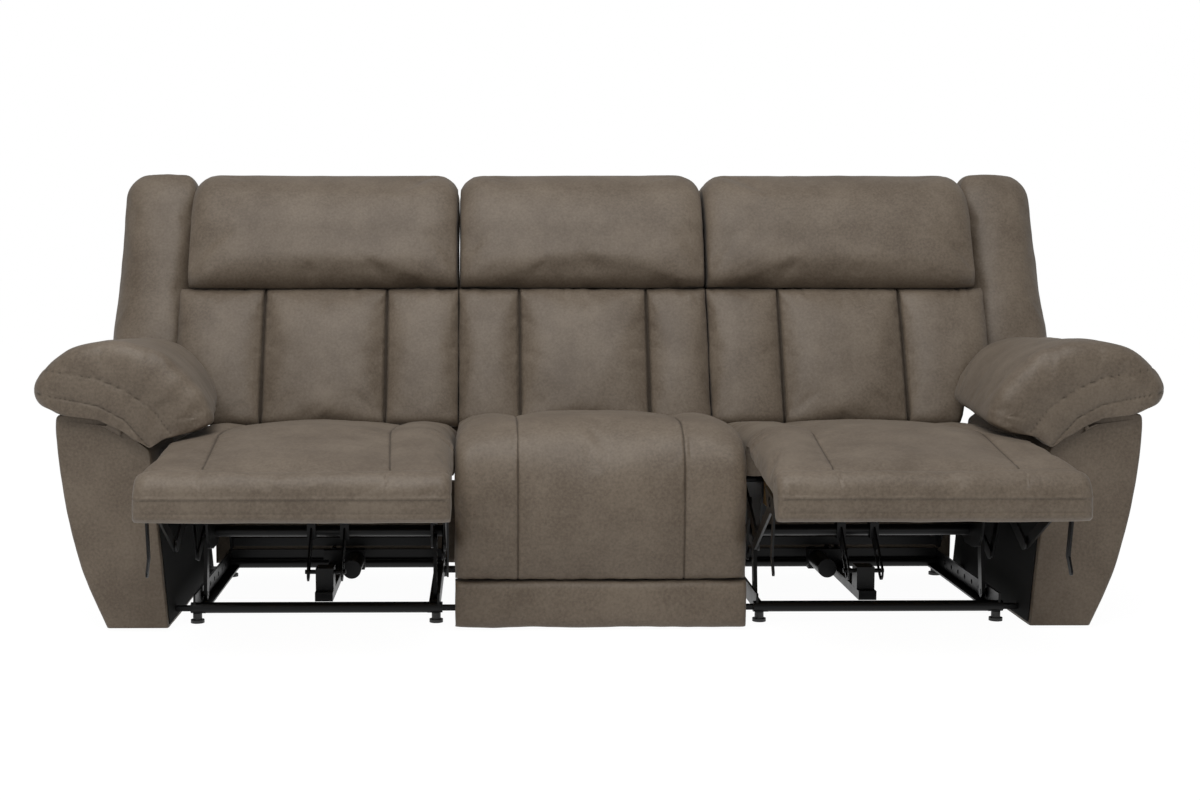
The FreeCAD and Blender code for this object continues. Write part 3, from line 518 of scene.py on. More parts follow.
def leather():
    """Corrected-grain upholstery leather, spray dyed and embossed: an even, slightly clouded taupe
    with a low waxy sheen, a fine pebble that breaks up highlights, and painted shade in the seams:
    a dark colour with no specular, standing in for the shadow in the furrows.
    The real pebble is about 0.8 mm; it is drawn twice as coarse so that it shows."""
    def build(tree):
        place = add(tree, "Attribute", attribute_name="rest_place").outputs["Vector"]
        seam = add(tree, "Attribute", attribute_name="seam").outputs["Fac"]
        cloud = add(tree, "TexNoise", {"Vector": place, "Scale": 9.0, "Detail": 5.0, "Roughness": 0.62})
        fine = add(tree, "TexNoise", {"Vector": place, "Scale": 170.0, "Detail": 3.0, "Roughness": 0.6})
        blend = add(tree, "Math", {0: cloud.outputs["Fac"], 1: fine.outputs["Fac"]}, operation="ADD")
        share = add(tree, "MapRange", {"Value": blend.outputs[0], "From Min": 0.75, "From Max": 1.25})
        c = colours()
        dye = add(tree, "Mix", {0: share.outputs[0], 6: rgba(c.leather_deep), 7: rgba(c.leather)},
                  data_type="RGBA")
        # painted shade: along the seam lines the dye is mixed towards the seam shade colour, in place of the
        # shadow in the furrows
        seam_shaded = add(tree, "Mix", {0: seam, 6: dye.outputs[2], 7: rgba(c.seam_shade_colour)}, data_type="RGBA")
        pebble = add(tree, "TexVoronoi", {"Vector": place, "Scale": 1.0 / sizes().grain},
                     feature="SMOOTH_F1")
        crease = add(tree, "TexNoise", {"Vector": place, "Scale": 60.0, "Detail": 6.0,
                                        "Roughness": 0.7, "Distortion": 0.6})
        low = add(tree, "Bump", {"Height": crease.outputs["Fac"], "Strength": 0.22, "Distance": 0.0015})
        bump = add(tree, "Bump", {"Height": pebble.outputs["Distance"], "Strength": 0.25,
                                  "Distance": 0.0004, "Normal": low.outputs[0]})
        rough = add(tree, "MapRange", {"Value": fine.outputs["Fac"], "To Min": 0.48, "To Max": 0.62})
        # the specular fades out along the seam lines too, so that the painted shade stays dark
        gloss = add(tree, "MapRange", {"Value": seam, "To Min": 0.5, "To Max": 0.0})
        return add(tree, "BsdfPrincipled", {
            "Base Color": seam_shaded.outputs[2], "Roughness": rough.outputs[0], "IOR": 1.45,
            "Specular IOR Level": gloss.outputs[0], "Normal": bump.outputs[0],
            "Sheen Weight": 0.06, "Sheen Roughness": 0.5})
    return material("taupe_corrected_grain_leather", build)


def object_place(tree):
    return add(tree, "TexCoord").outputs["Object"]


def painted_steel():
    """Cold-rolled steel with satin black powder paint: near black, broad soft highlights, and the
    faint orange peel of cured powder, about 1.5 mm wide."""
    def build(tree):
        place = object_place(tree)
        peel = add(tree, "TexNoise", {"Vector": place, "Scale": 650.0, "Detail": 2.0})
        dust = add(tree, "TexNoise", {"Vector": place, "Scale": 28.0, "Detail": 6.0, "Roughness": 0.7})
        rough = add(tree, "MapRange", {"Value": dust.outputs["Fac"], "To Min": 0.30, "To Max": 0.46})
        tone = add(tree, "Mix", {0: dust.outputs["Fac"], 6: rgba(colours().steel),
                                 7: rgba(linear("#0c0c0d"))}, data_type="RGBA")
        bump = add(tree, "Bump", {"Height": peel.outputs["Fac"], "Strength": 0.12, "Distance": 0.0003})
        return add(tree, "BsdfPrincipled", {
            "Base Color": tone.outputs[2], "Roughness": rough.outputs[0], "IOR": 1.5,
            "Specular IOR Level": 0.22, "Normal": bump.outputs[0]})
    return material("satin_black_powder_painted_steel", build)


def spring_wire():
    """Drawn spring steel with a thin zinc skin: grey metal, fine lines along the draw."""
    def build(tree):
        place = object_place(tree)
        drawn = add(tree, "TexNoise", {"Vector": place, "Scale": 900.0, "Detail": 2.0})
        rough = add(tree, "MapRange", {"Value": drawn.outputs["Fac"], "To Min": 0.28, "To Max": 0.42})
        return add(tree, "BsdfPrincipled", {
            "Base Color": rgba(linear("#9a9b9c")), "Metallic": 1.0, "Roughness": rough.outputs[0]})
    return material("zinc_plated_spring_wire", build)


def pine():
    """Planed softwood and plywood rails: pale, with growth lines some 6 mm apart along the rail."""
    def build(tree):
        place = object_place(tree)
        turn = add(tree, "Mapping", {"Vector": place, "Scale": (1.0, 12.0, 12.0)})
        grain = add(tree, "TexNoise", {"Vector": turn.outputs[0], "Scale": 14.0, "Detail": 6.0,
                                       "Roughness": 0.6, "Distortion": 0.8})
        tone = add(tree, "Mix", {0: grain.outputs["Fac"], 6: rgba(linear("#a98556")),
                                 7: rgba(linear("#d9bd8c"))}, data_type="RGBA")
        bump = add(tree, "Bump", {"Height": grain.outputs["Fac"], "Strength": 0.15, "Distance": 0.0005})
        return add(tree, "BsdfPrincipled", {
            "Base Color": tone.outputs[2], "Roughness": 0.62, "IOR": 1.5, "Normal": bump.outputs[0]})
    return material("planed_pine", build)


def moulded_plastic():
    """Injection-moulded black ABS with a fine spark texture, about 0.5 mm grit."""
    def build(tree):
        place = object_place(tree)
        spark = add(tree, "TexNoise", {"Vector": place, "Scale": 1400.0, "Detail": 2.0})
        bump = add(tree, "Bump", {"Height": spark.outputs["Fac"], "Strength": 0.2, "Distance": 0.0002})
        rough = add(tree, "MapRange", {"Value": spark.outputs["Fac"], "To Min": 0.42, "To Max": 0.55})
        return add(tree, "BsdfPrincipled", {
            "Base Color": rgba(linear("#191919")), "Roughness": rough.outputs[0], "IOR": 1.53,
            "Normal": bump.outputs[0]})
    return material("spark_textured_black_abs", build)


def dust_cloth():
    """Spun-bonded black polypropylene cloth: matt fibres pressed together at dots 2 mm apart."""
    def build(tree):
        place = object_place(tree)
        dots = add(tree, "TexVoronoi", {"Vector": place, "Scale": 500.0, "Randomness": 0.15})
        tone = add(tree, "Mix", {0: dots.outputs["Distance"], 6: rgba(linear("#0a0a0a")),
                                 7: rgba(linear("#161616"))}, data_type="RGBA")
        bump = add(tree, "Bump", {"Height": dots.outputs["Distance"], "Strength": 0.4,
                                  "Distance": 0.0003})
        return add(tree, "BsdfPrincipled", {
            "Base Color": tone.outputs[2], "Roughness": 0.9, "Specular IOR Level": 0.2,
            "Normal": bump.outputs[0]})
    return material("spun_bonded_dust_cloth", build)


# Forms of the stuffed pieces, in millimetres

def head_pillow_form(low, high):
    """Head pillow: a wedge that is deepest at its lower front roll; both ends round in over a lip,
    drawn towards a point low on the back."""
    lip = 66.0
    anchor = np.array([786.0, 727.0])
    front = run([(735, 713.6), (652, 713.8, 14), (633, 742, 22), (645, 784, 40), (664, 820, 60),
                 (690, 892, 80), (722, 942, 60), (756, 982, 50), (800, 1003, 30), (838, 1006)], 54)
    rear = run([(735, 713.6), (781, 715, 6), (882.5, 960, 20), (870, 990, 20), (838, 1006)], 54)

    def section(x):
        k = rim(x, low, high, lip, 0.80)
        return anchor + (front - anchor) * k, anchor + (rear - anchor) * k

    sheets = swept_x(stations(low + 1.5, high - 1.5, (), 11.0, lip), section)
    form = skin(*sheets, rows=12, dome=(1.0, 1.0))
    p = form.points
    ends = (p[:, 0] < low + 3.0) | (p[:, 0] > high - 3.0)
    form.held = (form.where > 0) | ends | ((p[:, 1] > 730.0) & (p[:, 2] < 716.0))
    form.room = ([low + 0.4, 625.0, 713.3], [high - 0.4, 890.0, 1016.0])
    return form


def pillow_creases(p, seed):
    """Shallow cross folds: a dip between two soft rolls, and puckers that fan up from the lower seam."""
    low = np.exp(-((p[:, 2] - 722.0) / 30.0) ** 2) * (p[:, 1] < 700.0)
    fan = np.sin(p[:, 0] / 9.0 + 2.5 * waves(p, 160.0, seed + 5))
    fan *= np.clip(waves(p, 90.0, seed + 6), 0.0, 2.0)
    dip = -2.2 * np.exp(-((p[:, 2] - 858.0) / 26.0) ** 2) * (p[:, 1] < 760.0)
    return 0.7 * low * fan + dip


def channel_form(edges, low, high):
    """Back cushion: upright channels side by side. The depth follows a quarter ellipse away from
    each seam and side, from just over half to full where the draw of the seam ends."""
    places = stations(edges[0] + 0.3, edges[-1] - 0.3, edges[1:-1], 10.0, 24.0)
    reach = 78.0

    def depth(x):
        away = min(min(abs(x - edge) for edge in edges) / reach, 1.0)
        return 0.56 + 0.43 * quarter(away)

    def section(x):
        # past the seat, the foot of the outer channel rises steeply to clear the arm
        bottom = low + np.clip((x - SEAT_OUT - 6.0) * 4.0, 0.0, ARM_STEP)
        foot = (front_y(bottom) + 46, bottom + 2)
        head = (front_y(high) + 36, high)
        back = PAD_DEPTH - 0.6
        front = run([foot, (front_y(bottom) + 26, bottom + 1, 8), (front_y(bottom) + 6, bottom + 20, 16),
                     (front_y(bottom + 110) - 9, bottom + 110, 60), (front_y(640) - 3, 640, 60),
                     (front_y(high) + 12, high - 5, 16), head], 44)
        rear = run([foot, (front_y(bottom) + back, bottom + 6, 4), (front_y(high) + back, high, 2), head], 44)
        k = depth(x)
        for line in (front, rear):
            board = front_y(line[:, 1]) + back
            line[:, 0] = board + (line[:, 0] - board) * k
        return front, rear

    sheets = swept_x(places, section)
    form = skin(*sheets, rows=6)
    p = form.points
    form.seam = np.where(form.where == 0, to_seams(p, across=edges[1:-1]), FAR)
    form.held = (form.where > 0) | (form.seam < 0.5) | (p[:, 2] > high - 3.0)
    form.room = ([edges[0] + 0.3, 480.0, low], [edges[-1] - 0.3, 705.0, high + 0.4])
    return form


def channel_creases(p, seed):
    """Puckers under the head pillow: short upright ripples that die out downwards."""
    top = np.exp(-((BACK_HIGH - p[:, 2]) / 26.0) ** 2)
    ripple = np.sin(p[:, 0] / 6.5 + 3.0 * waves(p, 130.0, seed + 2))
    return 1.3 * top * (ripple * np.clip(waves(p, 70.0, seed + 3), -0.2, 1.6))


def wing_form():
    """Wing: upright pad whose section is a rounded box; towards its top and its foot the sides and
    faces draw in along a quarter circle."""
    foot_z, foot_round = 478.0, 30.0
    top_z, top_round = 1006.0, 66.0
    turn_z = top_z - top_round
    bend_z = 712.0
    # height, outer side, and how far its front and rear faces lie behind the back's front line
    table = np.array([[foot_z, 1190, 22, 128], [500, 1197, 8, 144], [560, 1200, 7, 158], [620, 1199, 7, 163],
                      [700, 1194, 10, 161], [836, 1189, 16, 148], [920, 1187, 23, 132],
                      [top_z, 1183, 30, 118]], float)
    levels = np.unique(np.concatenate([foot_z + turn_in(foot_round, 6), np.arange(512.0, turn_z, 12.0),
                                       turn_z + top_round * np.sin(np.linspace(0.0, 0.5 * np.pi, 12))]))
    fronts, rears = [], []
    inner = PILLOW_OUT + 0.5
    for z in levels:
        outer, near, far = (np.interp(z, table[:, 0], table[:, k]) for k in (1, 2, 3))
        drop = shoulder(max(0.0, (z - turn_z) / top_round))
        foot = shoulder(max(0.0, (foot_z + foot_round - z) / foot_round))
        xa = inner + 34.0 * drop
        xb = outer - 56.0 * drop - 16.0 * foot
        base = front_y(min(z, bend_z)) + 0.36 * max(z - bend_z, 0.0) + PAD_DEPTH
        ya = base + near + 34.0 * drop + 14.0 * foot
        yb = base + far - 40.0 * drop - 8.0 * foot
        mid = 0.5 * (ya + yb)
        r = 0.32 * (yb - ya)
        fronts.append(run([(xa, mid), (xa, ya + r * 0.4, r), (xa + 26, ya - 2, 26),
                           (0.5 * (xa + xb), ya - 12, 50), (xb - 18, ya + 2, 40), (xb, ya + r, 30),
                           (xb, mid)], 40))
        rears.append(run([(xa, mid), (xa, yb, 10), (xb - 12, yb, 34), (xb, yb - r, 20), (xb, mid)], 40))
    zs = np.repeat(levels[:, None], len(fronts[0]), axis=1)
    form = skin(np.dstack([fronts, zs]), np.dstack([rears, zs]), rows=12, dome=(2.0, 7.0))
    p = form.points
    outline = np.interp(p[:, 2], table[:, 0], table[:, 1])
    form.held = (p[:, 0] < inner + 0.5) | (form.where == 1) | (p[:, 0] > outline - 2.0)
    form.seam = np.where((form.where == 1) & (p[:, 2] < 930.0), np.abs(p[:, 0] - outline + 30.0), FAR)
    form.room = ([inner - 0.1, 560.0, 470.0], [1206.0, 914.0, 1012.0])
    return form


# The arm roll: its section in x and z, and two sewn lines on its front end
ARM_RING_TOP = [(824, 474), (844, 518, 16), (924, 600, 40), (998, 624, 40), (1062, 627, 60), (1145, 607, 50),
                (1213, 536, 44), (1204, 494, 24), (1176, 483)]
ARM_RING_LOW = [(824, 474), (819, 450, 8), (850, 434, 10), (925, 420, 10), (958, 397, 5), (1013, 433.5, 10),
                (1065, 459.5, 12), (1158, 471.5, 10), (1176, 483)]
ARM_OUT = 1205.0
ARM_REST = 450.0
ARM_NARROW = 0.00036        # share of its width that the roll loses per mm towards the back
ARM_SINK = 0.00030          # share of its height above ARM_REST that it loses per mm
UPPER_ARM_SEAM = [(1196, 566), (1130, 557), (1063, 546), (1004, 520), (948, 480), (913, 431)]
LOWER_ARM_SEAM = [(1204, 516), (1135, 503), (1065, 489), (1012, 461), (958, 400)]


def polyline_gap(a, b, line):
    """Distance of points (a, b) from a polyline."""
    best = np.full(len(a), FAR)
    for (x0, z0), (x1, z1) in zip(line, line[1:]):
        dx, dz = x1 - x0, z1 - z0
        t = np.clip(((a - x0) * dx + (b - z0) * dz) / (dx * dx + dz * dz), 0.0, 1.0)
        best = np.minimum(best, np.hypot(a - x0 - t * dx, b - z0 - t * dz))
    return best


def arm_pillow_form():
    """Arm pillow: a long roll that gets narrower and lower towards the back. Its section is drawn
    in towards a point at both ends along a quarter ellipse, and its rear end leans with the back."""
    top = run(ARM_RING_TOP, 60)
    low = run(ARM_RING_LOW, 60)
    start, end = -113.0, 498.0
    lip_front, lip_rear = 46.0, 60.0
    places = np.unique(np.round(np.concatenate([start + turn_in(lip_front, 9), np.arange(-60.0, 430.0, 14.0),
                                                end - turn_in(lip_rear, 8)]), 3))
    centre = np.array([1010.0, 520.0])
    fronts, rears = [], []
    for y in places:
        u = np.clip(min((y - start) / lip_front, (end - y) / lip_rear), 0.0, 1.0)
        k = 0.80 + 0.20 * quarter(u)
        lean = BACK_SLOPE * np.clip((y - 250.0) / 200.0, 0.0, 1.0)
        for line, out in ((top, fronts), (low, rears)):
            base = low_limit(line[:, 0])
            s = centre + (line - centre) * k
            s[:, 1] = low_limit(s[:, 0]) + (line[:, 1] - base) * k
            s[:, 0] = ARM_OUT - (ARM_OUT - s[:, 0]) * (1.0 - ARM_NARROW * (y - start))
            s[:, 1] -= np.clip(s[:, 1] - ARM_REST, 0.0, None) * ARM_SINK * (y - start)
            s[:, 1] = np.maximum(s[:, 1], low_limit(s[:, 0]))
            out.append(np.column_stack([s[:, 0], y + lean * (s[:, 1] - 430.0), s[:, 1]]))
    form = skin(np.array(fronts), np.array(rears), rows=26, dome=(10.0, 4.0))
    p = form.points
    gap = np.minimum(*(polyline_gap(p[:, 0], p[:, 2], line) for line in (UPPER_ARM_SEAM, LOWER_ARM_SEAM)))
    form.seam = np.where(p[:, 1] < -66.0, gap, FAR)
    form.held = (form.where == 1) | (form.seam < 2.5) | (p[:, 0] > 1196.0)
    form.room = ([812.0, -126.0, 394.0], [1206.0, 585.0, 634.0])
    return form


def low_limit(x):
    """Height of the arm's crest under the pillow."""
    return np.interp(x, [800, 925, 958, 1013, 1065, 1160, 1210], [438, 419, 396.5, 433, 459, 471, 482])


def arm_creases(p, seed):
    """Soft cross folds where the roll bends down at its inner front corner."""
    near = np.exp(-((p[:, 1] + 90.0) / 40.0) ** 2) * np.exp(-((p[:, 0] - 950.0) / 80.0) ** 2)
    return 1.8 * near * np.sin((p[:, 0] + p[:, 2]) / 15.0 + waves(p, 120.0, seed + 4))


def seat_top_drop(x, low, high):
    """How far the seat falls at x below its crown: a flat parabola and a steeper rounded shoulder."""
    half = 0.5 * (high - low)
    t = abs(x - 0.5 * (low + high)) / half
    return 8.0 * t * t + 18.0 * shoulder(max(0.0, (t - 0.86) / 0.14))


def chaise_form():
    """Seat and legrest under one skin. The upper sheet runs from the rear of the seat over the nose,
    down the legrest to the crease, over the front roll and its welted border; the lower one follows
    the boards."""
    low, high = SEAT_IN + 0.1, SEAT_OUT - 0.4
    counts = [46, 12, 28, 26]
    centre = 200.0

    def section(x):
        k = rim(x, low, high, 26.0, 0.0)
        fall = seat_top_drop(x, low, high)
        lift = 7.0 - fall
        rear_nose = (-46, 424 + 0.8 * lift)
        nose = (-118, 422 + 0.8 * lift)
        crease = (CREASE[0], CREASE[1] - 0.35 * fall)
        upper = side_line([
            [(487, 352), (488, 370 + 0.3 * lift, 8), (466, 383 + 0.4 * lift, 20), (150, 411 + lift, 120),
             rear_nose],
            [rear_nose, (-98, 424 + 0.8 * lift, 30), nose],
            [nose, (-250, 407 + 0.6 * lift, 80), (-408, 394 - 0.35 * fall, 12), crease],
            [crease, (-432, 394 - 0.3 * fall, 10), (-462, 393 - 0.2 * fall, 24), (-486, 368, 20), WELT,
             LOWER_SEAM, (-489, 306)]], counts)
        lower = side_line([
            [(487, 352), (485.5, 327.2, 6), (-46, 327.2)],
            [(-46, 327.2), (-46, 394, 6), (-98, 394, 6), (-118, 377)],
            [(-118, 377), (-424, 341)],
            [(-424, 341), (-450, 297, 6), (-478, 296, 5), (-489, 306)]], counts)
        middle = 0.5 * (upper + lower)
        upper = middle + (upper - middle) * (0.74 + 0.26 * k)
        lower = middle + (lower - middle) * (0.92 + 0.08 * k)
        for line in (upper, lower):
            line[:, 0] = centre + (line[:, 0] - centre) * (0.985 + 0.015 * k)
        return upper, lower

    places = stations(low, high, SEAT_SEAMS, 12.0, 26.0)
    sheets = swept_x(places, section)
    form = skin(*sheets, rows=8, dome=(1.5, 1.5))
    p = form.points
    across = to_seams(p, across=SEAT_SEAMS, inside=(p[:, 1] > CREASE[0]) & (form.where == 0))
    bars = to_seams(p, bars=(CREASE, WELT, LOWER_SEAM))
    form.seam = np.minimum(across, bars)
    border = (p[:, 1] < -486.0) & (p[:, 2] < 345.0)
    form.held = (form.where == 1) | (form.seam < 0.6) | border
    form.room = ([SEAT_IN + 0.2, -495.0, 290.0], [SEAT_OUT - 0.2, 489.0, 452.0])
    # the two long seams lean towards the sofa's middle as they run down the legrest
    share = np.clip((HINGE[0] - p[:, 1]) / (HINGE[0] - CREASE[0]), 0.0, 1.0)
    p[:, 0] -= 26.0 * share * np.sin(np.pi * (p[:, 0] - low) / (high - low))
    return form


def keep_below_arm(points):
    """The seat stays a little below the arm roll, by a soft limit that falls outwards."""
    limit, bend = 436.0, 3.0
    near = (points[:, 0] > 740.0) & (points[:, 2] > 400.0)
    over = points[:, 2] - limit + 0.2 * np.clip(points[:, 0] - 780.0, 0.0, None)
    points[:, 2] -= np.where(near, bend * np.logaddexp(0.0, over / bend), 0.0)


def chaise_creases(p, seed):
    """Slack ripples beside the crease, the fold of the crease itself and the welt above its seam."""
    near = np.exp(-((p[:, 1] + 425.0) / 30.0) ** 2)
    fold = -4.0 * np.exp(-((p[:, 1] - CREASE[0]) / 5.0) ** 2) * (p[:, 2] > 366.0)
    welt = 2.0 * np.exp(-((p[:, 2] - WELT[1] - 4.0) / 3.0) ** 2) * (p[:, 1] < -478.0)
    return 0.6 * near * waves(p, 60.0, seed + 7) + fold + welt


def middle_seat_form():
    """Middle seat: one skin over the seat and down its front to the kick band."""
    low, high = -CENTRE_HALF - 1.2, CENTRE_HALF + 1.2

    def section(x):
        t = abs(x) / high
        fall = 10.0 * t * t + 26.0 * shoulder(max(0.0, (t - 0.76) / 0.24))
        k = rim(x, low, high, 34.0, 0.0)
        pull = 22.0 * (1.0 - k)
        front = run([(488, 362), (489, 382, 8), (464, 404 - 0.3 * fall, 18), (150, 444 - fall, 120),
                     (-30, 446 - fall, 60), (-96 + pull, 400 - 0.8 * fall, 50), (-112 + pull, 330, 50),
                     (-116 + pull, 250, 60), (-110 + pull, 160, 40), (-103 + pull, 113, 8), (-78, 111)], 96)
        rear = run([(488, 362), (485.5, 333.2, 5), (-49.5, 333.2, 4), (-49.5, 111.5, 3), (-78, 111)], 96)
        return front, rear

    sheets = swept_x(stations(low, high, CENTRE_SEAT_SEAMS, 12.0, 34.0), section)
    form = skin(*sheets, rows=8, dome=(1.0, 1.0))
    p = form.points
    form.seam = np.where(form.where == 0, to_seams(p, across=CENTRE_SEAT_SEAMS), FAR)
    form.held = (form.where == 1) | (form.seam < 0.5) | (p[:, 2] < 114.0)
    form.room = ([low, -131.0, 110.2], [high, 489.0, 468.0])
    return form


def middle_creases(p, seed):
    """Fine puckers along the lower edge of the front."""
    foot = np.exp(-((p[:, 2] - 116.0) / 16.0) ** 2) * (p[:, 1] < -60.0)
    return 0.5 * foot * np.sin(p[:, 0] / 8.0 + 3.0 * waves(p, 140.0, seed + 2))


def kick_band_form():
    """Kick band: a narrow padded strip below the middle seat."""
    low, high = -CENTRE_HALF - 1.2, CENTRE_HALF + 1.2

    def section(x):
        k = 1.0 - rim(x, low, high, 14.0, 0.0)
        front = run([(-74, 6.5), (-97 + 8 * k, 7, 8), (-106 + 9 * k, 20, 12), (-108 + 9 * k, 60, 30),
                     (-105 + 9 * k, 97, 12), (-95 + 8 * k, 108.6, 8), (-74, 109)], 26)
        rear = run([(-74, 6.5), (-51, 7, 4), (-51, 108.8, 4), (-74, 109)], 26)
        return front, rear

    return skin(*swept_x(stations(low, high, (), 14.0, 14.0), section), rows=4)


def panel_form(x0, x1, y0, y1, z0, z1):
    """Flat upholstered panel: a slab whose edges are rounded by half its thickness."""
    mid = 0.5 * (y0 + y1)
    zc = 0.5 * (z0 + z1)

    def section(x):
        k = rim(x, x0, x1, 0.5 * (y1 - y0), 0.35)
        rear = run([(mid, z0), (y1, z0 + 1, 5), (y1, zc), (y1, z1 - 1, 5), (mid, z1)], 24)
        front = run([(mid, z0), (y0, z0 + 1, 3), (y0, zc), (y0, z1 - 1, 3), (mid, z1)], 24)
        for line in (front, rear):
            line[:, 0] = mid + (line[:, 0] - mid) * k
        return rear, front

    form = skin(*swept_x(stations(x0, x1, (), 24.0, 6.0), section), rows=4)
    p = form.points
    edge = np.minimum(np.minimum(p[:, 0] - x0, x1 - p[:, 0]), np.minimum(p[:, 2] - z0, z1 - p[:, 2]))
    stitch = 18.0
    form.seam = np.where(p[:, 1] > mid, np.abs(edge - stitch), FAR)
    return form


def arm_cover_form():
    """Arm panels: an upholstered case that is open below. The outer sheet is the outside face and
    the crest, the inner sheet the inside face; both ends are flat upholstered fronts."""
    outer = [(1061, 8), (1088, 69, 30), (1113, 134, 30), (1130, 199, 30), (1144, 264, 30), (1153, 328, 30),
             (1160, 393, 30), (1163, 440, 14), (1160, 469, 6), (1065, 457, 8), (1013, 431, 8)]
    inner = [(927.8, 8), (960.2, 392, 3), (1013, 431)]
    start, end = -92.0, 560.0
    lip = 14.0
    places = np.unique(np.round(np.concatenate([start + turn_in(lip, 6), np.arange(-70.0, 540.0, 20.0),
                                                end - turn_in(lip, 6)]), 3))
    a = run(outer, 56)
    b = run(inner, 56)
    fronts, rears = [], []
    for y in places:
        u = np.clip(min(y - start, end - y) / lip, 0.0, 1.0)
        back = 9.0 * (1.0 - quarter(u))
        wide = a[:, 0] - back * np.clip((a[:, 0] - 1020.0) / 40.0, 0.0, 1.0)
        slim = b[:, 0] + 0.35 * back * np.clip((1013.0 - b[:, 0]) / 40.0, 0.0, 1.0)
        fronts.append(np.column_stack([wide, np.full(len(a), y), a[:, 1]]))
        rears.append(np.column_stack([slim, np.full(len(b), y), b[:, 1]]))
    return skin(np.array(fronts), np.array(rears), rows=16, open_start=True)


def back_cover_form(x0, x1, x_low):
    """Outside back: a U in plan at every height, side returns and a rear panel with round corners,
    closed at its top where the U becomes shallow."""
    foot_z, top_z, arm_z, round_z = 296.0, 998.0, 470.0, 930.0
    rear = np.array([[foot_z, 700], [round_z, 914], [965, 912], [985, 903], [top_z, 892]], float)
    front = np.array([[foot_z, 524], [708, 699], [712, 783], [962, 887], [top_z, 889]], float)
    levels = np.unique(np.concatenate([np.arange(foot_z, round_z, 16.0), [469.0, 471.0, 708.0, 712.0],
                                       np.linspace(round_z, top_z, 12)]))
    rows = []
    for z in levels:
        yr = np.interp(z, rear[:, 0], rear[:, 1])
        yf = min(np.interp(z, front[:, 0], front[:, 1]), yr - 1.5)
        round_in = 62.0 * shoulder(max(0.0, (z - 936.0) / 62.5))
        inner, outer = x0 + round_in, (x_low if z < arm_z else x1) - round_in
        r = min(18.0, 0.45 * (yr - yf))
        line = side_line([
            [(inner, yf), (inner, yr - r)],
            [(inner, yr - r), (inner, yr, r), (inner + 30, yr)],
            [(inner + 30, yr), (outer - 30, yr)],
            [(outer - 30, yr), (outer, yr, r), (outer, yr - r)],
            [(outer, yr - r), (outer, yf)]], [8, 6, 30, 6, 8])
        x, y = line.T
        bow = np.sin(np.pi * np.clip((x - inner) / (outer - inner), 0, 1))
        bow *= np.sin(np.pi * (z - foot_z) / (top_z - foot_z))
        rows.append(np.column_stack([x, y + 2.0 * bow * (y > yr - 1.0), np.full(len(line), z)]))
    grid = np.array(rows)
    ids = np.arange(grid.shape[0] * grid.shape[1]).reshape(grid.shape[:2])
    form = new_form(grid.reshape(-1, 3), strip(ids), np.zeros((0, 3), int))
    x, y, z = form.points.T
    flat = y > np.interp(z, rear[:, 0], rear[:, 1]) - 2.0
    stitch, foot_stitch = 34.0, 318.0
    side_gap = np.minimum(np.abs(x - x0 - stitch), np.abs(np.where(z < arm_z, x_low, x1) - stitch - x))
    form.seam = np.where(flat & (z < round_z), np.minimum(side_gap, np.abs(z - foot_stitch)), FAR)
    return form


# Operators

class SOFA_OT_chaise_seats(bpy.types.Operator):
    """Makes both outer seats, each with its legrest under one leather skin"""
    bl_idname = "sofa.chaise_seats"
    bl_label = "Outer Seats and Legrests"

    def execute(self, context):
        form = chaise_form()
        points = swell(form, 0.7)
        keep_below_arm(points)
        for k, (word, side) in enumerate(SIDES):
            obj = dress("chaise_skin_" + word, form, points, side, 11 + k, chaise_creases)
            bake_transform(obj)
            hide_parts("seat_cushion_" + word, "legrest_pad_" + word)
        return {"FINISHED"}


class SOFA_OT_back_cushions(bpy.types.Operator):
    """Makes the three channelled back cushions"""
    bl_idname = "sofa.back_cushions"
    bl_label = "Back Cushions"

    def execute(self, context):
        # deeper furrows, with stronger painted shade in them than on the other pieces
        looks = {"creases": channel_creases, "deep": 1.5, "seam_shade": 0.85}
        outer = (PILLOW_IN - SIDE_SWELL,) + CHANNEL_SEAMS + (CHANNEL_OUT,)
        form = channel_form(outer, BACK_LOW, BACK_HIGH)
        pair("back_channels_{}", form, swell(form), 21, "back_{}", "back_cushion_{}", 0.6, **looks)
        middle = (-CENTRE_PILLOW - SIDE_SWELL,) + CENTRE_CHANNEL_SEAMS + (CENTRE_PILLOW + SIDE_SWELL,)
        form = channel_form(middle, BACK_LOW, BACK_HIGH)
        piece("back_channels_middle", form, swell(form), 1.0, 23, "base", "centre_back_cushion", 0.6, **looks)
        return {"FINISHED"}


class SOFA_OT_head_pillows(bpy.types.Operator):
    """Makes the three head pillows"""
    bl_idname = "sofa.head_pillows"
    bl_label = "Head Pillows"

    def execute(self, context):
        looks = {"creases": pillow_creases, "soft": 0.6}
        form = head_pillow_form(PILLOW_IN - SIDE_SWELL, PILLOW_OUT)
        pair("head_roll_{}", form, swell(form, 0.6, 0.0), 31, "back_{}", "head_pillow_{}", 0.6, **looks)
        form = head_pillow_form(-CENTRE_PILLOW - SIDE_SWELL, CENTRE_PILLOW + SIDE_SWELL)
        piece("head_roll_middle", form, swell(form, 0.6, 0.0), 1.0, 33, "base", "centre_head_pillow", 0.6,
              **looks)
        return {"FINISHED"}


class SOFA_OT_wings(bpy.types.Operator):
    """Makes both wings"""
    bl_idname = "sofa.wings"
    bl_label = "Wings"

    def execute(self, context):
        form = wing_form()
        pair("padded_wing_{}", form, swell(form, 0.4), 41, "back_{}", "wing_{}", 0.7)
        return {"FINISHED"}


class SOFA_OT_arms(bpy.types.Operator):
    """Makes the pillow tops and the upholstered panels of both arms"""
    bl_idname = "sofa.arms"
    bl_label = "Arms"

    def execute(self, context):
        form = arm_pillow_form()
        pair("arm_roll_{}", form, swell(form, 0.6), 51, "base", "arm_pillow_{}", 0.7, creases=arm_creases)
        form = arm_cover_form()
        pair("arm_panels_{}", form, form.points, 61, "base", "arm_cover_{}", 0.9, case=0.012, soft=0.5)
        return {"FINISHED"}


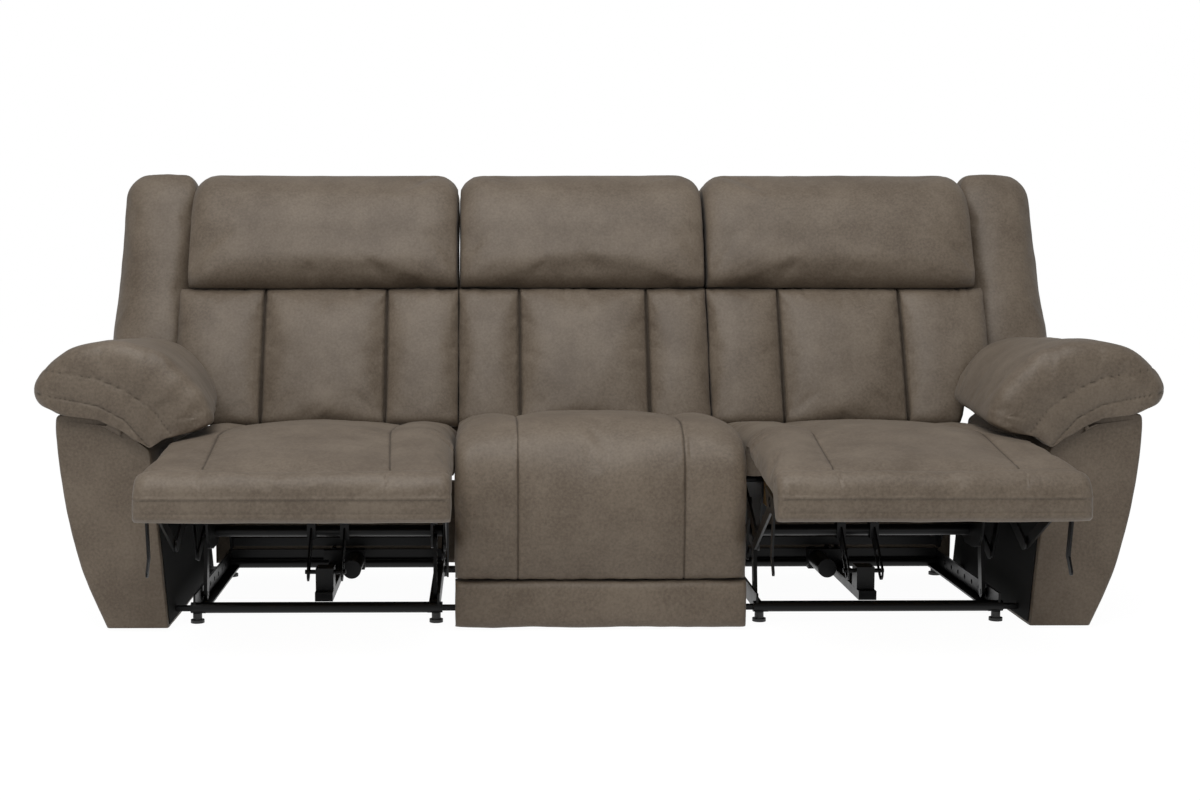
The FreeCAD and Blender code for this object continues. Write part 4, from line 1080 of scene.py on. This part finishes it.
class SOFA_OT_middle_seat(bpy.types.Operator):
    """Makes the fixed middle seat and its kick band"""
    bl_idname = "sofa.middle_seat"
    bl_label = "Middle Seat"

    def execute(self, context):
        form = middle_seat_form()
        piece("middle_seat_skin", form, swell(form, 0.8), 1.0, 71, "base", "centre_seat_pad", 0.7,
              creases=middle_creases)
        form = kick_band_form()
        piece("kick_band_skin", form, form.points, 1.0, 72, "base", "centre_kick_band", 0.8)
        return {"FINISHED"}


class SOFA_OT_outside_backs(bpy.types.Operator):
    """Makes the outside backs and the panels below them"""
    bl_idname = "sofa.outside_backs"
    bl_label = "Outside Backs"

    def execute(self, context):
        form = back_cover_form(PILLOW_IN - SIDE_SWELL, PILLOW_OUT, BACK_LOW_OUT)
        pair("outside_back_{}", form, form.points, 81, "back_{}", "back_cover_{}", 0.9, case=0.008, soft=0.5)
        half = CENTRE_PILLOW + SIDE_SWELL
        form = back_cover_form(-half, half, half)
        piece("outside_back_middle", form, form.points, 1.0, 83, "base", "centre_back_cover", 0.9, case=0.008,
              soft=0.5)
        inner, middle = 320.0, 308.0
        for k, (word, x0, x1, node) in enumerate((("left", -BACK_LOW_OUT, -inner, None),
                                                  ("middle", -middle, middle, "rear_valances"),
                                                  ("right", inner, BACK_LOW_OUT, None))):
            form = panel_form(x0, x1, REAR_FACE - 12.0, REAR_FACE, 28.0, 240.0)
            piece("rear_panel_" + word, form, form.points, 1.0, 91 + k, "base", node, 0.9, soft=0.3)
        return {"FINISHED"}


class SOFA_OT_frame_finish(bpy.types.Operator):
    """Gives the timber, springs, steel and plastic of the frame their finishes"""
    bl_idname = "sofa.frame_finish"
    bl_label = "Frame Finish"

    def execute(self, context):
        # every leather node is replaced by a stuffed piece, so its finish here never shows
        finish = {"timber": pine, "black_steel": painted_steel, "zinc_spring_wire": spring_wire,
                  "black_plastic": moulded_plastic, "black_dust_cloth": dust_cloth,
                  "leather_upholstery": painted_steel}
        slots = {row["node"]: row["material_slot"] for row in frame["record"]["subparts"]}
        for name, obj in frame["nodes"].items():
            mat = finish[slots[name]]()
            if not obj.data.materials:
                obj.data.materials.append(mat)
            for place in obj.material_slots:
                place.material = mat
        return {"FINISHED"}


class SOFA_OT_stage(bpy.types.Operator):
    """Sets the floor, the lamps, the world and the camera"""
    bl_idname = "sofa.stage"
    bl_label = "Stage"

    def execute(self, context):
        scene = context.scene
        scene.view_settings.view_transform = "Standard"
        self.floor()
        self.world(scene)
        self.lamps(scene)
        self.camera(scene)
        return {"FINISHED"}

    def floor(self):
        half, level = 30000.0, -0.4
        corners = np.array([[-half, -half, level], [half, -half, level], [half, half, level],
                            [-half, half, level]])
        obj = new_object("studio_floor", corners, np.array([[0, 1, 2, 3]]))

        def build(tree):
            path = add(tree, "LightPath")
            seen = add(tree, "Math", {0: path.outputs["Is Camera Ray"], 1: path.outputs["Is Glossy Ray"]},
                       operation="MAXIMUM")
            matt = add(tree, "BsdfDiffuse", {"Color": rgba(linear("#e8e8e8"))})
            glow = add(tree, "Emission", {"Color": (1.0, 1.0, 1.0, 1.0), "Strength": 1.08})
            part = add(tree, "Math", {0: seen.outputs[0], 1: 0.9}, operation="MULTIPLY")
            return add(tree, "MixShader", {0: part.outputs[0], 1: matt.outputs[0], 2: glow.outputs[0]})

        obj.data.materials.append(material("white_studio_floor", build))

    def world(self, scene):
        world = bpy.data.worlds.new("studio_world")
        world.use_nodes = True
        tree = world.node_tree
        tree.nodes.clear()
        path = add(tree, "LightPath")
        seen = add(tree, "Math", {0: path.outputs["Is Camera Ray"], 1: path.outputs["Is Transmission Ray"]},
                   operation="MAXIMUM")
        level = add(tree, "MapRange", {"Value": seen.outputs[0], "To Min": 0.35, "To Max": 1.0})
        glow = add(tree, "Background", {"Color": (1.0, 1.0, 1.0, 1.0), "Strength": level.outputs[0]})
        add(tree, "OutputWorld", {"Surface": glow.outputs[0]})
        scene.world = world

    def lamps(self, scene):
        for name, place, aim, size, power in (
                ("overhead_softbox", (-0.4, -1.6, 3.6), (0.0, 0.0, 0.4), 3.2, 110.0),
                ("front_softbox", (-1.8, -4.6, 2.2), (0.0, 0.0, 0.5), 2.4, 20.0)):
            data = bpy.data.lights.new(name, "AREA")
            data.shape = "SQUARE"
            data.size = size
            data.energy = power
            obj = bpy.data.objects.new(name, data)
            obj.location = place
            look = [a - b for a, b in zip(aim, place)]
            flat = math.hypot(look[0], look[1])
            obj.rotation_euler = (math.atan2(flat, -look[2]), 0.0, math.atan2(-look[0], look[1]))
            scene.collection.objects.link(obj)

    def camera(self, scene):
        data = bpy.data.cameras.new("photograph_view")
        data.sensor_width = 36.0
        data.lens = 53.54
        data.shift_x = 0.0755
        data.clip_end = 100.0
        obj = bpy.data.objects.new("photograph_view", data)
        obj.location = (-0.2476, -3.8709 + ROW_Y, 0.8438)
        obj.rotation_euler = (math.radians(90.0) - 0.0911, 0.0, -0.0136)
        scene.collection.objects.link(obj)
        scene.camera = obj


class SOFA_PT_panel(bpy.types.Panel):
    """Sizes, colours and steps of the sofa"""
    bl_idname = "SOFA_PT_panel"
    bl_label = "Reclining Sofa"
    bl_space_type = "VIEW_3D"
    bl_region_type = "UI"
    bl_category = "Sofa"

    def draw(self, context):
        column = self.layout.column()
        for group in (context.scene.sofa_sizes, context.scene.sofa_colours):
            for key in group.__annotations__:
                column.prop(group, key)
        for step in STEPS:
            column.operator(step.bl_idname)


STEPS = (SOFA_OT_stage, SOFA_OT_chaise_seats, SOFA_OT_back_cushions, SOFA_OT_head_pillows, SOFA_OT_wings,
         SOFA_OT_arms, SOFA_OT_middle_seat, SOFA_OT_outside_backs, SOFA_OT_frame_finish)
CLASSES = (SofaSizes, SofaColours) + STEPS + (SOFA_PT_panel,)


def register():
    for cls in CLASSES:
        bpy.utils.register_class(cls)
    bpy.types.Scene.sofa_sizes = PointerProperty(type=SofaSizes)
    bpy.types.Scene.sofa_colours = PointerProperty(type=SofaColours)


def unregister():
    del bpy.types.Scene.sofa_colours
    del bpy.types.Scene.sofa_sizes
    for cls in reversed(CLASSES):
        bpy.utils.unregister_class(cls)


def main():
    register()
    for step in STEPS:
        group, call = step.bl_idname.split(".")
        getattr(getattr(bpy.ops, group), call)()


if __name__ == "__main__":
    main()
